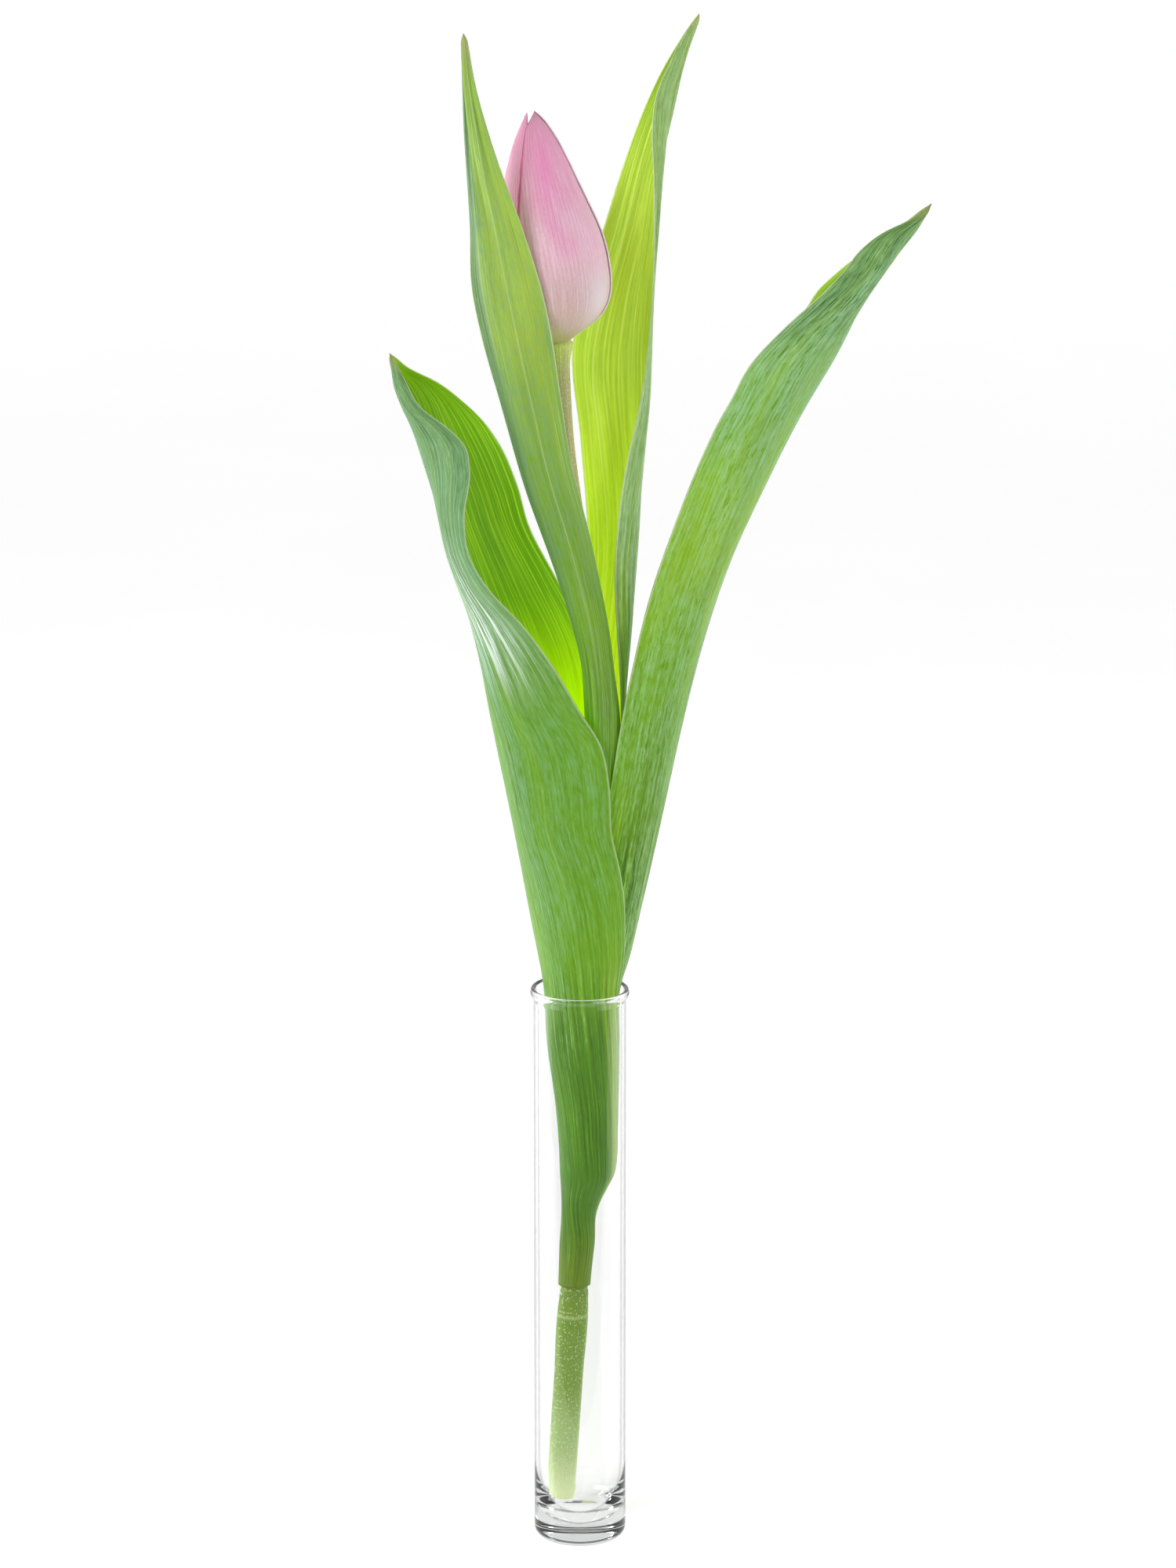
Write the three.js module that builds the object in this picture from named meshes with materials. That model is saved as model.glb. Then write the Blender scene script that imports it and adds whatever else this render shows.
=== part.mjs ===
// A cut tulip in bud with four leaves, standing in a slim glass tube.
// Millimetres, +Z up, +Y away from the viewer. The origin is the middle of the tube's flat base.

import * as THREE from 'three';

// The glass tube: one thick rounded foot, a thin wall and a lip that flares a little
const TUBE_HEIGHT = 162;
const TUBE_RADIUS = 13;
const TUBE_WALL = 1.1;
const FOOT_CORNER = 2;
const FLOOR_HEIGHT = 6;
const BOWL_DEPTH = 11;
const LIP_FLARE = 0.7;
const LIP_HEIGHT = 3;
const LIP_NECK = 1.2;
const LIP_ROUNDING = 0.8;
const BORE_ROUNDING = 0.3;
const TUBE_SIDES = 40;
const CURVE_STEPS = 4;

// The stem: height, x, y and radius from the slanted cut up, then the flower's seat on top of it,
// as height above the stem and radius
const STEM = [
  [10.3, -5.55, 0, 3.85],
  [20, -5.0, 0, 4.05],
  [47, -3.3, 0, 4.1],
  [70.5, -1.8, 0, 4.05],
  [75, -1.5, 0, 3.5],
  [96, -0.3, 0, 3.5],
  [130, 1.6, 0, 3.6],
  [165, 3.8, 0, 3.5],
  [205, 6, 0, 3.35],
  [225, 6.3, 0, 3.3],
  [250, 5.2, 0, 3.2],
  [275, 2.3, 0, 3.1],
  [300, -2.4, 0, 3.0],
  [315, -4.3, 0, 2.95],
  [344, -5.9, 0, 2.9],
];
const CUT_SLANT = 0.12;
const SEAT = [[1, 2.5], [3, 2.2]];
const STEM_SIDES = 14;

// Each leaf is drawn as a ship's hull is, in level sections. Three lines run up it, each a list of
// height, x and y: the margin nearer the viewer, the fold, and the margin behind. A level section
// is an arc through the three. Squeeze is the arc's depth from front to back against its width.
const LEAF_THICKNESS = 0.7;
const ROW_SPACING = 10;
const LEAVES = {
  leaf_1: {
    columns: 12,
    near: [
      [75, 2.2, 2.3], [88, 3.2, 1.9], [95, 4.0, 1.5], [100, 5.8, 0.4], [104, 7.7, -0.5],
      [108, 9.5, -0.8], [113, 10.3, -0.9], [121, 10.5, -1.1], [134, 10.7, -1.7], [147, 10.8, -2.4],
      [162, 10.8, -3.9], [172, 12.3, -7.2], [182, 12.6, -8.5], [191, 12.2, -9], [200, 10.7, -9],
      [207, 9.1, -9], [222, 8.2, -9], [233, 6, -9], [244, -0.5, -9.5], [256, -7.4, -10],
      [268, -16.1, -10.5], [277, -24.4, -10.5], [286, -29.8, -10], [297, -31.3, -10],
      [311, -29.8, -9.5], [317, -31.2, -9], [322, -36.3, -7.5], [326, -42.2, -5.5],
      [334, -47.4, -4], [341.3, -51.4, -2.7],
    ],
    fold: [
      [75, -5.8, 0], [86, -5.4, 0], [95, -4.9, 0], [112, -5.3, 0.3], [128, -6.4, 0.5],
      [146, -8.8, 0.5], [163, -9.9, 0], [180, -12.9, 0], [228, -22.2, 0], [256, -27.3, 0],
      [285, -35.1, -0.5], [307, -41.2, -1], [320, -45.2, -1.5], [331, -49.3, -2], [341.3, -52, -2],
    ],
    far: [
      [75, -0.2, 4.2], [95, 1.7, 4.0], [104, 3.6, 5.5], [113, 5.3, 7.0], [128, 5.9, 7.7],
      [146, 6.4, 8.7], [160, 6.6, 8.9], [176, 7, 11], [192, 7.5, 12], [230, 7.5, 11],
      [250, 5, 10.5], [266, -1, 10], [277, -6.7, 9.8], [291, -13.8, 9.3], [303, -17.2, 9],
      [315, -22.4, 8.5], [321, -26.6, 8], [326.5, -32, 6.5], [332, -38.6, 4], [337, -47, 0.5],
      [341.3, -51.4, -1.3],
    ],
    squeeze: [[75, 1], [163, 1], [180, 0.9], [215, 0.58], [250, 0.52], [330, 0.6], [341.3, 1]],
  },
  leaf_2: {
    columns: 10,
    near: [
      [118, -2.1, -3.2], [140, -0.9, -4.2], [163, 0.6, -5.3], [176, 1.8, -5.6], [195, 4, -6.8],
      [221, 8.6, -6.5], [238, 11.3, -6], [253, 14.2, -6], [275, 19.4, -6], [294, 25.8, -6],
      [313, 33.2, -6], [322, 37.3, -6], [329, 41.2, -5.5], [339, 46.7, -5.5], [348.5, 55.5, -5],
      [358, 65.8, -4.5], [364, 71.6, -4], [370, 76.4, -3.5], [374, 81.6, -3], [378, 89.7, -2.2],
      [382.2, 95.2, -1.7],
    ],
    fold: [
      [118, 5.7, 0], [140, 8.1, 0.5], [158, 10.4, 1.6], [163, 11.3, 2], [170, 13.4, 2.8],
      [187, 17.2, 2.6], [213, 22.8, 2.5], [236, 27.6, 2.5], [262, 34.3, 2], [285, 42.3, 1.5],
      [305, 51.2, 1], [323, 59.6, 0.5], [343, 70.3, 0], [353, 75.6, -0.5], [368.5, 86.4, -1],
      [376, 91.8, -1], [382.2, 95.7, -1],
    ],
    far: [
      [118, -2.1, 3.2], [140, -1.2, 5], [163, 0.3, 7.2], [176, 2.8, 9.4], [187, 6, 10],
      [213, 13, 9.5], [236, 18, 9], [262, 24.5, 8.5], [285, 31.5, 8], [305, 39, 7.5],
      [323, 47, 6.5], [343, 56.5, 5], [353, 62, 4], [358, 65.2, 3.5], [362, 69.3, 3],
      [368, 76.5, 2], [374, 85, 1], [382.2, 95.2, -0.3],
    ],
    squeeze: [[118, 1], [163, 1], [190, 0.8], [250, 0.6], [340, 0.5], [374, 0.5], [382.2, 1]],
  },
  leaf_3: {
    columns: 8,
    near: [
      [168, -0.4, 1.4], [190, 1.1, 1.4], [215, 1.8, 0.4], [243, 1.4, -1], [255, 0.6, -2],
      [267, -2.3, -2.8], [280, -6.3, -3.5], [304, -14.6, -6], [329, -21.5, -9.5], [347, -26.4, -12],
      [361, -29.1, -13], [378, -29.5, -14], [405, -30.9, -15], [429.5, -31.6, -14.8],
    ],
    fold: [
      [168, 4.2, -4.6], [190, 5.6, -5], [215, 7, -5.4], [243, 6.6, -6.3], [262, 4.2, -7.5],
      [284, -1, -9], [309, -8, -12], [331, -13.3, -15], [352, -17.3, -17.8], [376, -22, -18.6],
      [396, -26, -17.9], [413, -29, -16.7], [429.5, -30.9, -15.2],
    ],
    far: [
      [168, 8.0, 1.8], [180, 9.2, -0.2], [192, 9.5, -2.4], [205, 10.1, -3.1], [220, 10.9, -3.2],
      [238, 11.2, -3.3], [255, 9.2, -3.6], [262, 8.4, -3.8], [277, 5.7, -4.2], [293, 2.3, -5],
      [310, -1.9, -7.4], [333, -5.4, -12.4], [347, -7.3, -15.7], [360, -9.8, -17.6],
      [378, -15.4, -17.6], [398, -22.7, -16.5], [415, -27.6, -15.6], [429.5, -30.2, -14.8],
    ],
    squeeze: [[168, 1], [429.5, 1]],
  },
  leaf_4: {
    columns: 8,
    near: [
      [196, 9.7, -1.4], [215, 10.5, -1.2], [237, 11.4, -0.9], [249, 11.1, -0.5], [264, 10.2, 0.5],
      [280, 9.6, 1.5], [291, 10.3, 3], [300, 11.3, 4.5], [310, 13.0, 6.5], [320, 15.3, 8.5],
      [328, 16.9, 9.8], [340, 18.6, 11], [370, 20.2, 12], [388, 20.1, 12.5], [401, 19.7, 12.8],
      [410, 20.9, 13], [418, 24.3, 13], [426, 28.2, 13.2], [431.8, 32.2, 13.2],
    ],
    fold: [
      [196, 9.3, 2.2], [215, 10.7, 2.4], [244, 12.6, 3], [266, 14.2, 4], [290, 15.9, 6.2],
      [315, 17.4, 9.5], [340, 19.7, 12.2], [367, 21, 13.4], [389, 22.4, 14], [409, 25.8, 14.3],
      [422, 29.4, 14.3], [431.8, 32.8, 13.8],
    ],
    far: [
      [196, 1.8, 2.2], [215, 2.2, 3], [244, 1.6, 4.6], [265, 2.2, 6.5], [289, 2.2, 9.5],
      [315, 0.2, 12.5], [340, -2.0, 15], [356, 1, 16.2], [370, 5.6, 16.6], [388, 11.2, 16.5],
      [403, 16.5, 16.2], [415, 21.8, 15.6], [425, 27.6, 14.8], [431.8, 32.2, 14.4],
    ],
    squeeze: [[196, 1], [244, 0.9], [290, 0.6], [340, 0.35], [390, 0.35], [420, 0.6], [431.8, 1]],
  },
};

// The flower bud, in its own frame: height along its axis and radius. Outer petals follow the first
// outline, inner petals the second. Each petal wraps a third of the bud and a little more.
const BUD_BASE = [-5.9, 0, 344];
const BUD_LEAN = -0.11;
const OUTER_OUTLINE = [
  [0.4, 3.3], [2.2, 6.3], [4.3, 9.7], [6.5, 12.3], [9, 14.2], [12, 15.4], [16, 16],
  [20, 16], [25, 15.6], [30, 14.6], [37, 12.3], [43.5, 10], [50, 7.7], [55.5, 5.5], [59.5, 3.4],
  [61.8, 2], [63.2, 1.4],
];
const INNER_OUTLINE = [
  [2.3, 2.9], [3.9, 5.4], [6, 8.2], [8.2, 10.6], [11, 12.5], [14, 13.5], [18, 13.9], [23, 13.8],
  [28, 13], [34, 11.2], [40, 9.1], [46, 6.9], [51, 5], [55, 3.3], [57.4, 2.3],
];
const FRONT_PETAL_AZIMUTH = -58;
const PETAL_HALF_ANGLE = 62;
const PETAL_CLAW_ANGLE = 48;
const PETAL_TIP_ANGLE = 28;
const PETAL_TIP_SHARE = 0.15;
const PETAL_THICKNESS = 0.6;
const OUTER_TUCK = 0.6;
const INNER_TUCK = 0.55;
const PETAL_CLAW_SHARE = 0.2;
const PETAL_ROWS = 12;
const PETAL_COLUMNS = 7;
// Rows of a petal lie closer together at its base, and a little farther apart in the middle
const ROW_CROWDING = 1.3;
const ROW_SWELL = 0.3;

// The seed vessel and the stamens inside the bud: height, radius, and how far the lobes stand out
const PISTIL_OUTLINE = [
  [3.5, 1.0, 0], [5, 1.15, 0.02], [7.5, 2.2, 0.08], [12, 2.6, 0.1], [18, 2.5, 0.1],
  [21, 1.9, 0.12], [22.5, 2.3, 0.3], [24, 3.1, 0.42], [25, 2.6, 0.4],
];
const PISTIL_SIDES = 18;
const STAMEN_COUNT = 6;
const STAMEN_SIDES = 7;
const STAMEN_TURN = 30;
const STAMEN_PATH = [
  [3.5, 1.75, 0.34], [4.6, 2.0, 0.4], [6.6, 3.3, 0.6], [9.4, 4.4, 0.5], [10.4, 4.6, 1.0],
  [12, 4.7, 1.25], [19, 4.9, 1.2], [21.5, 4.9, 0.5],
];

const FINISH = {
  glass: { color: 0xe9f0ef, roughness: 0.05, metalness: 0, transparent: true, opacity: 0.35 },
  leaf: { color: 0x6fa858, roughness: 0.5, metalness: 0 },
  young_leaf: { color: 0x9cc84a, roughness: 0.5, metalness: 0 },
  stem: { color: 0x7fae5a, roughness: 0.55, metalness: 0 },
  petal: { color: 0xdc9cc0, roughness: 0.6, metalness: 0 },
  pistil: { color: 0xb9c77a, roughness: 0.6, metalness: 0 },
  stamen: { color: 0x4a3a52, roughness: 0.8, metalness: 0 },
};

// Smooth value of a line at a height: a cubic whose slope at each point is that of the parabola
// through it and its two neighbours.
function along(line, height) {
  const last = line.length - 1;
  let i = 0;
  while (i < last - 1 && height > line[i + 1][0]) {
    i += 1;
  }
  const span = line[i + 1][0] - line[i][0];
  const t = Math.min(Math.max((height - line[i][0]) / span, 0), 1);
  return line[i].slice(1).map((value, k) => {
    const next = line[i + 1][k + 1];
    const a = slopeAt(line, i, k + 1);
    const b = slopeAt(line, i + 1, k + 1);
    const hold = (2 * t ** 3 - 3 * t ** 2 + 1) * value + (3 * t ** 2 - 2 * t ** 3) * next;
    return hold + ((t ** 3 - 2 * t ** 2 + t) * a + (t ** 3 - t ** 2) * b) * span;
  });
}

function slopeAt(line, i, k) {
  const rise = (j) => (line[j + 1][k] - line[j][k]) / (line[j + 1][0] - line[j][0]);
  if (i === 0) {
    return rise(0);
  }
  if (i === line.length - 1) {
    return rise(i - 1);
  }
  const before = line[i][0] - line[i - 1][0];
  const after = line[i + 1][0] - line[i][0];
  return (rise(i - 1) * after + rise(i) * before) / (before + after);
}

// Point on a leaf: share 0 is the near margin, 1 the far one, and the arc between is the circle
// through near margin, fold and far margin, drawn with the depth divided by the squeeze.
function leafPoint(leaf, height, share) {
  const [squeeze] = along(leaf.squeeze, height);
  const corner = (line) => {
    const [x, y] = along(line, height);
    return new THREE.Vector2(x, y / squeeze);
  };
  const near = corner(leaf.near);
  const toFold = corner(leaf.fold).sub(near);
  const toFar = corner(leaf.far).sub(near);
  const twist = toFold.cross(toFar);
  const middle = new THREE.Vector2(
    toFar.y * toFold.lengthSq() - toFold.y * toFar.lengthSq(),
    toFold.x * toFar.lengthSq() - toFar.x * toFold.lengthSq(),
  ).divideScalar(2 * twist);
  const start = Math.atan2(-middle.y, -middle.x);
  const end = Math.atan2(toFar.y - middle.y, toFar.x - middle.x);
  const way = Math.sign(twist);
  const turn = THREE.MathUtils.euclideanModulo((end - start) * way, 2 * Math.PI) * way;
  const angle = start + turn * share;
  const radius = middle.length();
  return new THREE.Vector3(
    near.x + middle.x + radius * Math.cos(angle),
    (near.y + middle.y + radius * Math.sin(angle)) * squeeze,
    height,
  );
}

// Closed solid of an even thickness round a sheet given as rows of points. Both faces are split
// along the same diagonals.
function thickSheet(rows, thickness) {
  const high = rows.length;
  const wide = rows[0].length;
  const points = [];
  for (const side of [0.5, -0.5]) {
    rows.forEach((row, i) => row.forEach((point, j) => {
      const up = rows[Math.min(i + 1, high - 1)][j].clone().sub(rows[Math.max(i - 1, 0)][j]);
      const across = row[Math.min(j + 1, wide - 1)].clone().sub(row[Math.max(j - 1, 0)]);
      const normal = across.cross(up).normalize();
      points.push(point.clone().addScaledVector(normal, side * thickness));
    }));
  }
  const front = (i, j) => i * wide + j;
  const back = (i, j) => (high + i) * wide + j;
  const faces = [];
  for (let i = 0; i < high - 1; i += 1) {
    for (let j = 0; j < wide - 1; j += 1) {
      faces.push([front(i, j), front(i, j + 1), front(i + 1, j + 1)]);
      faces.push([front(i, j), front(i + 1, j + 1), front(i + 1, j)]);
      faces.push([back(i, j), back(i + 1, j + 1), back(i, j + 1)]);
      faces.push([back(i, j), back(i + 1, j), back(i + 1, j + 1)]);
    }
    faces.push([front(i, 0), front(i + 1, 0), back(i + 1, 0)]);
    faces.push([front(i, 0), back(i + 1, 0), back(i, 0)]);
    faces.push([front(i, wide - 1), back(i + 1, wide - 1), front(i + 1, wide - 1)]);
    faces.push([front(i, wide - 1), back(i, wide - 1), back(i + 1, wide - 1)]);
  }
  for (let j = 0; j < wide - 1; j += 1) {
    faces.push([front(0, j), back(0, j), back(0, j + 1)]);
    faces.push([front(0, j), back(0, j + 1), front(0, j + 1)]);
    faces.push([front(high - 1, j), back(high - 1, j + 1), back(high - 1, j)]);
    faces.push([front(high - 1, j), front(high - 1, j + 1), back(high - 1, j + 1)]);
  }
  return solid(points, faces);
}

// Closed solid round a stack of rings, each a list of the same number of points
function ringStack(rings) {
  const sides = rings[0].length;
  const last = rings.length - 1;
  const points = rings.flat();
  const at = (i, j) => i * sides + (j % sides);
  const faces = [];
  for (let i = 0; i < last; i += 1) {
    for (let j = 0; j < sides; j += 1) {
      faces.push([at(i, j), at(i, j + 1), at(i + 1, j + 1)]);
      faces.push([at(i, j), at(i + 1, j + 1), at(i + 1, j)]);
    }
  }
  const low = points.length;
  points.push(centreOf(rings[0]), centreOf(rings[last]));
  for (let j = 0; j < sides; j += 1) {
    faces.push([low, at(0, j + 1), at(0, j)]);
    faces.push([low + 1, at(last, j), at(last, j + 1)]);
  }
  return solid(points, faces);
}

function centreOf(ring) {
  const sum = ring.reduce((total, point) => total.add(point), new THREE.Vector3());
  return sum.divideScalar(ring.length);
}

// Geometry from points and faces, turned so that the faces point out
function solid(points, faces) {
  const volume = faces.reduce((sum, [a, b, c]) => {
    return sum + points[a].dot(points[b].clone().cross(points[c]));
  }, 0);
  const turned = volume > 0 ? faces : faces.map(([a, b, c]) => [a, c, b]);
  const geometry = new THREE.BufferGeometry();
  const numbers = points.flatMap((point) => point.toArray());
  geometry.setAttribute('position', new THREE.Float32BufferAttribute(numbers, 3));
  geometry.setIndex(turned.flat());
  geometry.computeVertexNormals();
  return geometry;
}

function named(name, geometry, finish) {
  const mesh = new THREE.Mesh(geometry, new THREE.MeshStandardMaterial(finish));
  mesh.name = name;
  return mesh;
}

// The tube is a lathe of one closed outline: foot, wall, flared lip, bore and rounded floor
function tube() {
  const inside = TUBE_RADIUS - TUBE_WALL;
  const outline = new THREE.Path();
  outline.moveTo(0, 0);
  outline.lineTo(TUBE_RADIUS - FOOT_CORNER, 0);
  outline.quadraticCurveTo(TUBE_RADIUS, 0, TUBE_RADIUS, FOOT_CORNER);
  outline.lineTo(TUBE_RADIUS, TUBE_HEIGHT - LIP_HEIGHT);
  outline.quadraticCurveTo(
    TUBE_RADIUS,
    TUBE_HEIGHT - LIP_NECK,
    TUBE_RADIUS + LIP_FLARE,
    TUBE_HEIGHT - LIP_ROUNDING,
  );
  outline.quadraticCurveTo(TUBE_RADIUS + LIP_FLARE, TUBE_HEIGHT, TUBE_RADIUS, TUBE_HEIGHT);
  outline.quadraticCurveTo(
    inside + BORE_ROUNDING,
    TUBE_HEIGHT,
    inside,
    TUBE_HEIGHT - LIP_HEIGHT,
  );
  outline.lineTo(inside, FLOOR_HEIGHT + BOWL_DEPTH);
  outline.absellipse(
    0, FLOOR_HEIGHT + BOWL_DEPTH, inside, BOWL_DEPTH, 0, -Math.PI / 2, true,
  );
  const corners = outline.getPoints(CURVE_STEPS).filter((p, i, all) => {
    return i === 0 || !p.equals(all[i - 1]);
  });
  corners[0].x = 0;
  corners[corners.length - 1].x = 0;
  const lathe = new THREE.LatheGeometry(corners, TUBE_SIDES);
  lathe.rotateX(Math.PI / 2);
  return lathe;
}

function ringAround(x, y, z, radius, sides) {
  return Array.from({ length: sides }, (_, j) => {
    const angle = (2 * Math.PI * j) / sides;
    return new THREE.Vector3(x + radius * Math.cos(angle), y + radius * Math.sin(angle), z);
  });
}

// The same ring with its +X side raised by so much for each millimetre
function tilted(ring, slope) {
  const middle = (ring[0].x + ring[ring.length / 2].x) / 2;
  ring.forEach((p) => {
    p.z += (p.x - middle) * slope;
  });
  return ring;
}

function stem() {
  const top = STEM[STEM.length - 1][0];
  const bottom = STEM[0][0];
  const cut = ringAround(STEM[0][1], STEM[0][2], bottom, STEM[0][3], STEM_SIDES);
  const rings = [tilted(cut, -CUT_SLANT)];
  for (const height of rowHeights(STEM, ROW_SPACING).slice(1)) {
    const [x, y, radius] = along(STEM, height);
    rings.push(ringAround(x, y, height, radius, STEM_SIDES));
  }
  const [x, y] = along(STEM, top);
  for (const [rise, radius] of SEAT) {
    const ring = ringAround(x + rise * BUD_LEAN, y, top + rise, radius, STEM_SIDES);
    rings.push(tilted(ring, -BUD_LEAN));
  }
  return ringStack(rings);
}

// Heights of a line's points, with more between them where they lie far apart
function rowHeights(line, spacing) {
  const heights = [line[0][0]];
  for (let i = 1; i < line.length; i += 1) {
    const from = line[i - 1][0];
    const gap = line[i][0] - from;
    const steps = Math.ceil(gap / spacing);
    for (let k = 1; k <= steps; k += 1) {
      heights.push(from + (gap * k) / steps);
    }
  }
  return heights;
}

function leafSolid(leaf) {
  const rows = rowHeights(leaf.near, ROW_SPACING).map((height) => {
    return Array.from({ length: leaf.columns + 1 }, (_, j) => leafPoint(leaf, height, j / leaf.columns));
  });
  return thickSheet(rows, LEAF_THICKNESS);
}

// A petal follows the bud's outline up, and is tucked like a pinwheel: one margin stands out over
// its neighbour, the other lies under the next one.
function petal(outline, azimuth, tuck) {
  const low = outline[0][0];
  const high = outline[outline.length - 1][0];
  const rows = [];
  for (let i = 0; i <= PETAL_ROWS; i += 1) {
    const share = i / PETAL_ROWS;
    const swell = 1 + ROW_SWELL * share * (1 - share);
    const height = low + (high - low) * share ** ROW_CROWDING * swell;
    const [radius] = along(outline, height);
    const lean = Math.atan(steepness(outline, height));
    const claw = THREE.MathUtils.smoothstep(share, 0, PETAL_CLAW_SHARE);
    const point = THREE.MathUtils.smoothstep(share, 1 - PETAL_TIP_SHARE, 1);
    let half = THREE.MathUtils.lerp(PETAL_CLAW_ANGLE, PETAL_HALF_ANGLE, claw);
    half = THREE.MathUtils.lerp(half, PETAL_TIP_ANGLE, point);
    rows.push(Array.from({ length: PETAL_COLUMNS + 1 }, (_, j) => {
      const across = (2 * j) / PETAL_COLUMNS - 1;
      const angle = THREE.MathUtils.degToRad(azimuth + half * across);
      const raised = -tuck * across;
      const reach = radius + raised * Math.cos(lean);
      return new THREE.Vector3(
        reach * Math.cos(angle), reach * Math.sin(angle), height - raised * Math.sin(lean),
      );
    }));
  }
  return thickSheet(rows, PETAL_THICKNESS);
}

// Growth of an outline's radius with height, measured over a short step inside its ends
function steepness(outline, height) {
  const step = 0.05;
  const low = outline[0][0] + step;
  const high = outline[outline.length - 1][0] - step;
  const middle = Math.min(Math.max(height, low), high);
  return (along(outline, middle + step)[0] - along(outline, middle - step)[0]) / (2 * step);
}

// Three-sided seed vessel whose top spreads into three lobes
function pistil() {
  const sides = PISTIL_SIDES;
  const rings = PISTIL_OUTLINE.map(([height, radius, lobe]) => {
    return Array.from({ length: sides }, (_, j) => {
      const angle = (2 * Math.PI * j) / sides;
      const reach = radius * (1 + lobe * Math.cos(3 * angle));
      return new THREE.Vector3(reach * Math.cos(angle), reach * Math.sin(angle), height);
    });
  });
  return ringStack(rings);
}

function stamen(azimuth) {
  const angle = THREE.MathUtils.degToRad(azimuth);
  const rings = STAMEN_PATH.map(([height, reach, radius]) => {
    const x = reach * Math.cos(angle);
    const y = reach * Math.sin(angle);
    return ringAround(x, y, height, radius, STAMEN_SIDES);
  });
  return ringStack(rings);
}

const tulip = new THREE.Group();
tulip.add(named('vase', tube(), FINISH.glass));
tulip.add(named('stem', stem(), FINISH.stem));
for (const [name, leaf] of Object.entries(LEAVES)) {
  tulip.add(named(name, leafSolid(leaf), name === 'leaf_4' ? FINISH.young_leaf : FINISH.leaf));
}

const bud = new THREE.Group();
bud.position.set(...BUD_BASE);
bud.rotation.y = BUD_LEAN;
for (let k = 0; k < 3; k += 1) {
  const outer = FRONT_PETAL_AZIMUTH + 120 * k;
  bud.add(named(`petal_outer_${k + 1}`, petal(OUTER_OUTLINE, outer, OUTER_TUCK), FINISH.petal));
  bud.add(named(`petal_inner_${k + 1}`, petal(INNER_OUTLINE, outer + 60, INNER_TUCK), FINISH.petal));
}
bud.add(named('pistil', pistil(), FINISH.pistil));
for (let k = 0; k < STAMEN_COUNT; k += 1) {
  const azimuth = (360 * k) / STAMEN_COUNT + STAMEN_TURN;
  bud.add(named(`stamen_${k + 1}`, stamen(azimuth), FINISH.stamen));
}
tulip.add(bud);

export default tulip;
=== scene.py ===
"""A cut tulip in bud standing in a slim glass tube: its fine surfaces, finishes, light and camera."""

import math

import bpy
import numpy as np
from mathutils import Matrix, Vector


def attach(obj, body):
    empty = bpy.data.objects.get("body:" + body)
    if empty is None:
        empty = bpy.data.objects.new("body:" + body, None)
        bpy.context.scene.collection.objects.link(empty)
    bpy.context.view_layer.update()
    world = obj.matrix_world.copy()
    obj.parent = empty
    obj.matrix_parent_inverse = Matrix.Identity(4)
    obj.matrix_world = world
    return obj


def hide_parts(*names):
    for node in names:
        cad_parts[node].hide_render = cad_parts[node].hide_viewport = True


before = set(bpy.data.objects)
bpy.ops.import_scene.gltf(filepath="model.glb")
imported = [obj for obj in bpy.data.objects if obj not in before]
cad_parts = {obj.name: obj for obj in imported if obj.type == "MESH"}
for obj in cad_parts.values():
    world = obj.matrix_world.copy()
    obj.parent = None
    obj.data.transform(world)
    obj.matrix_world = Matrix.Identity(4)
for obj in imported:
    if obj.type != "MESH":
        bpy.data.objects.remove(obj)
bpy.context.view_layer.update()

bl_info = {
    "name": "Tulip in a Glass Tube",
    "version": (1, 0, 0),
    "blender": (4, 5, 0),
    "location": "3D View > Sidebar > Tulip",
    "description": "Makes a cut tulip in bud, with its leaves, in a slim glass tube",
    "category": "Add Mesh",
}

MM = 0.001
BODY = "root"

# Shape of the stem: height, x, y and radius in millimetres, from the slanted cut to the flower
STEM = [
    [10.3, -5.55, 0, 3.85], [20, -5.0, 0, 4.05], [47, -3.3, 0, 4.1], [70.5, -1.8, 0, 4.05],
    [75, -1.5, 0, 3.5], [96, -0.3, 0, 3.5], [130, 1.6, 0, 3.6], [165, 3.8, 0, 3.5],
    [205, 6, 0, 3.35], [225, 6.3, 0, 3.3], [250, 5.2, 0, 3.2], [275, 2.3, 0, 3.1],
    [300, -2.4, 0, 3.0], [315, -4.3, 0, 2.95], [344, -5.9, 0, 2.9],
]
CUT_SLANT = 0.12
NODE_HEIGHT = 72.5
# The flower's seat on top of the stem: rise along the bud's axis and radius
SEAT = [[1, 2.5], [3, 2.2]]

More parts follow.
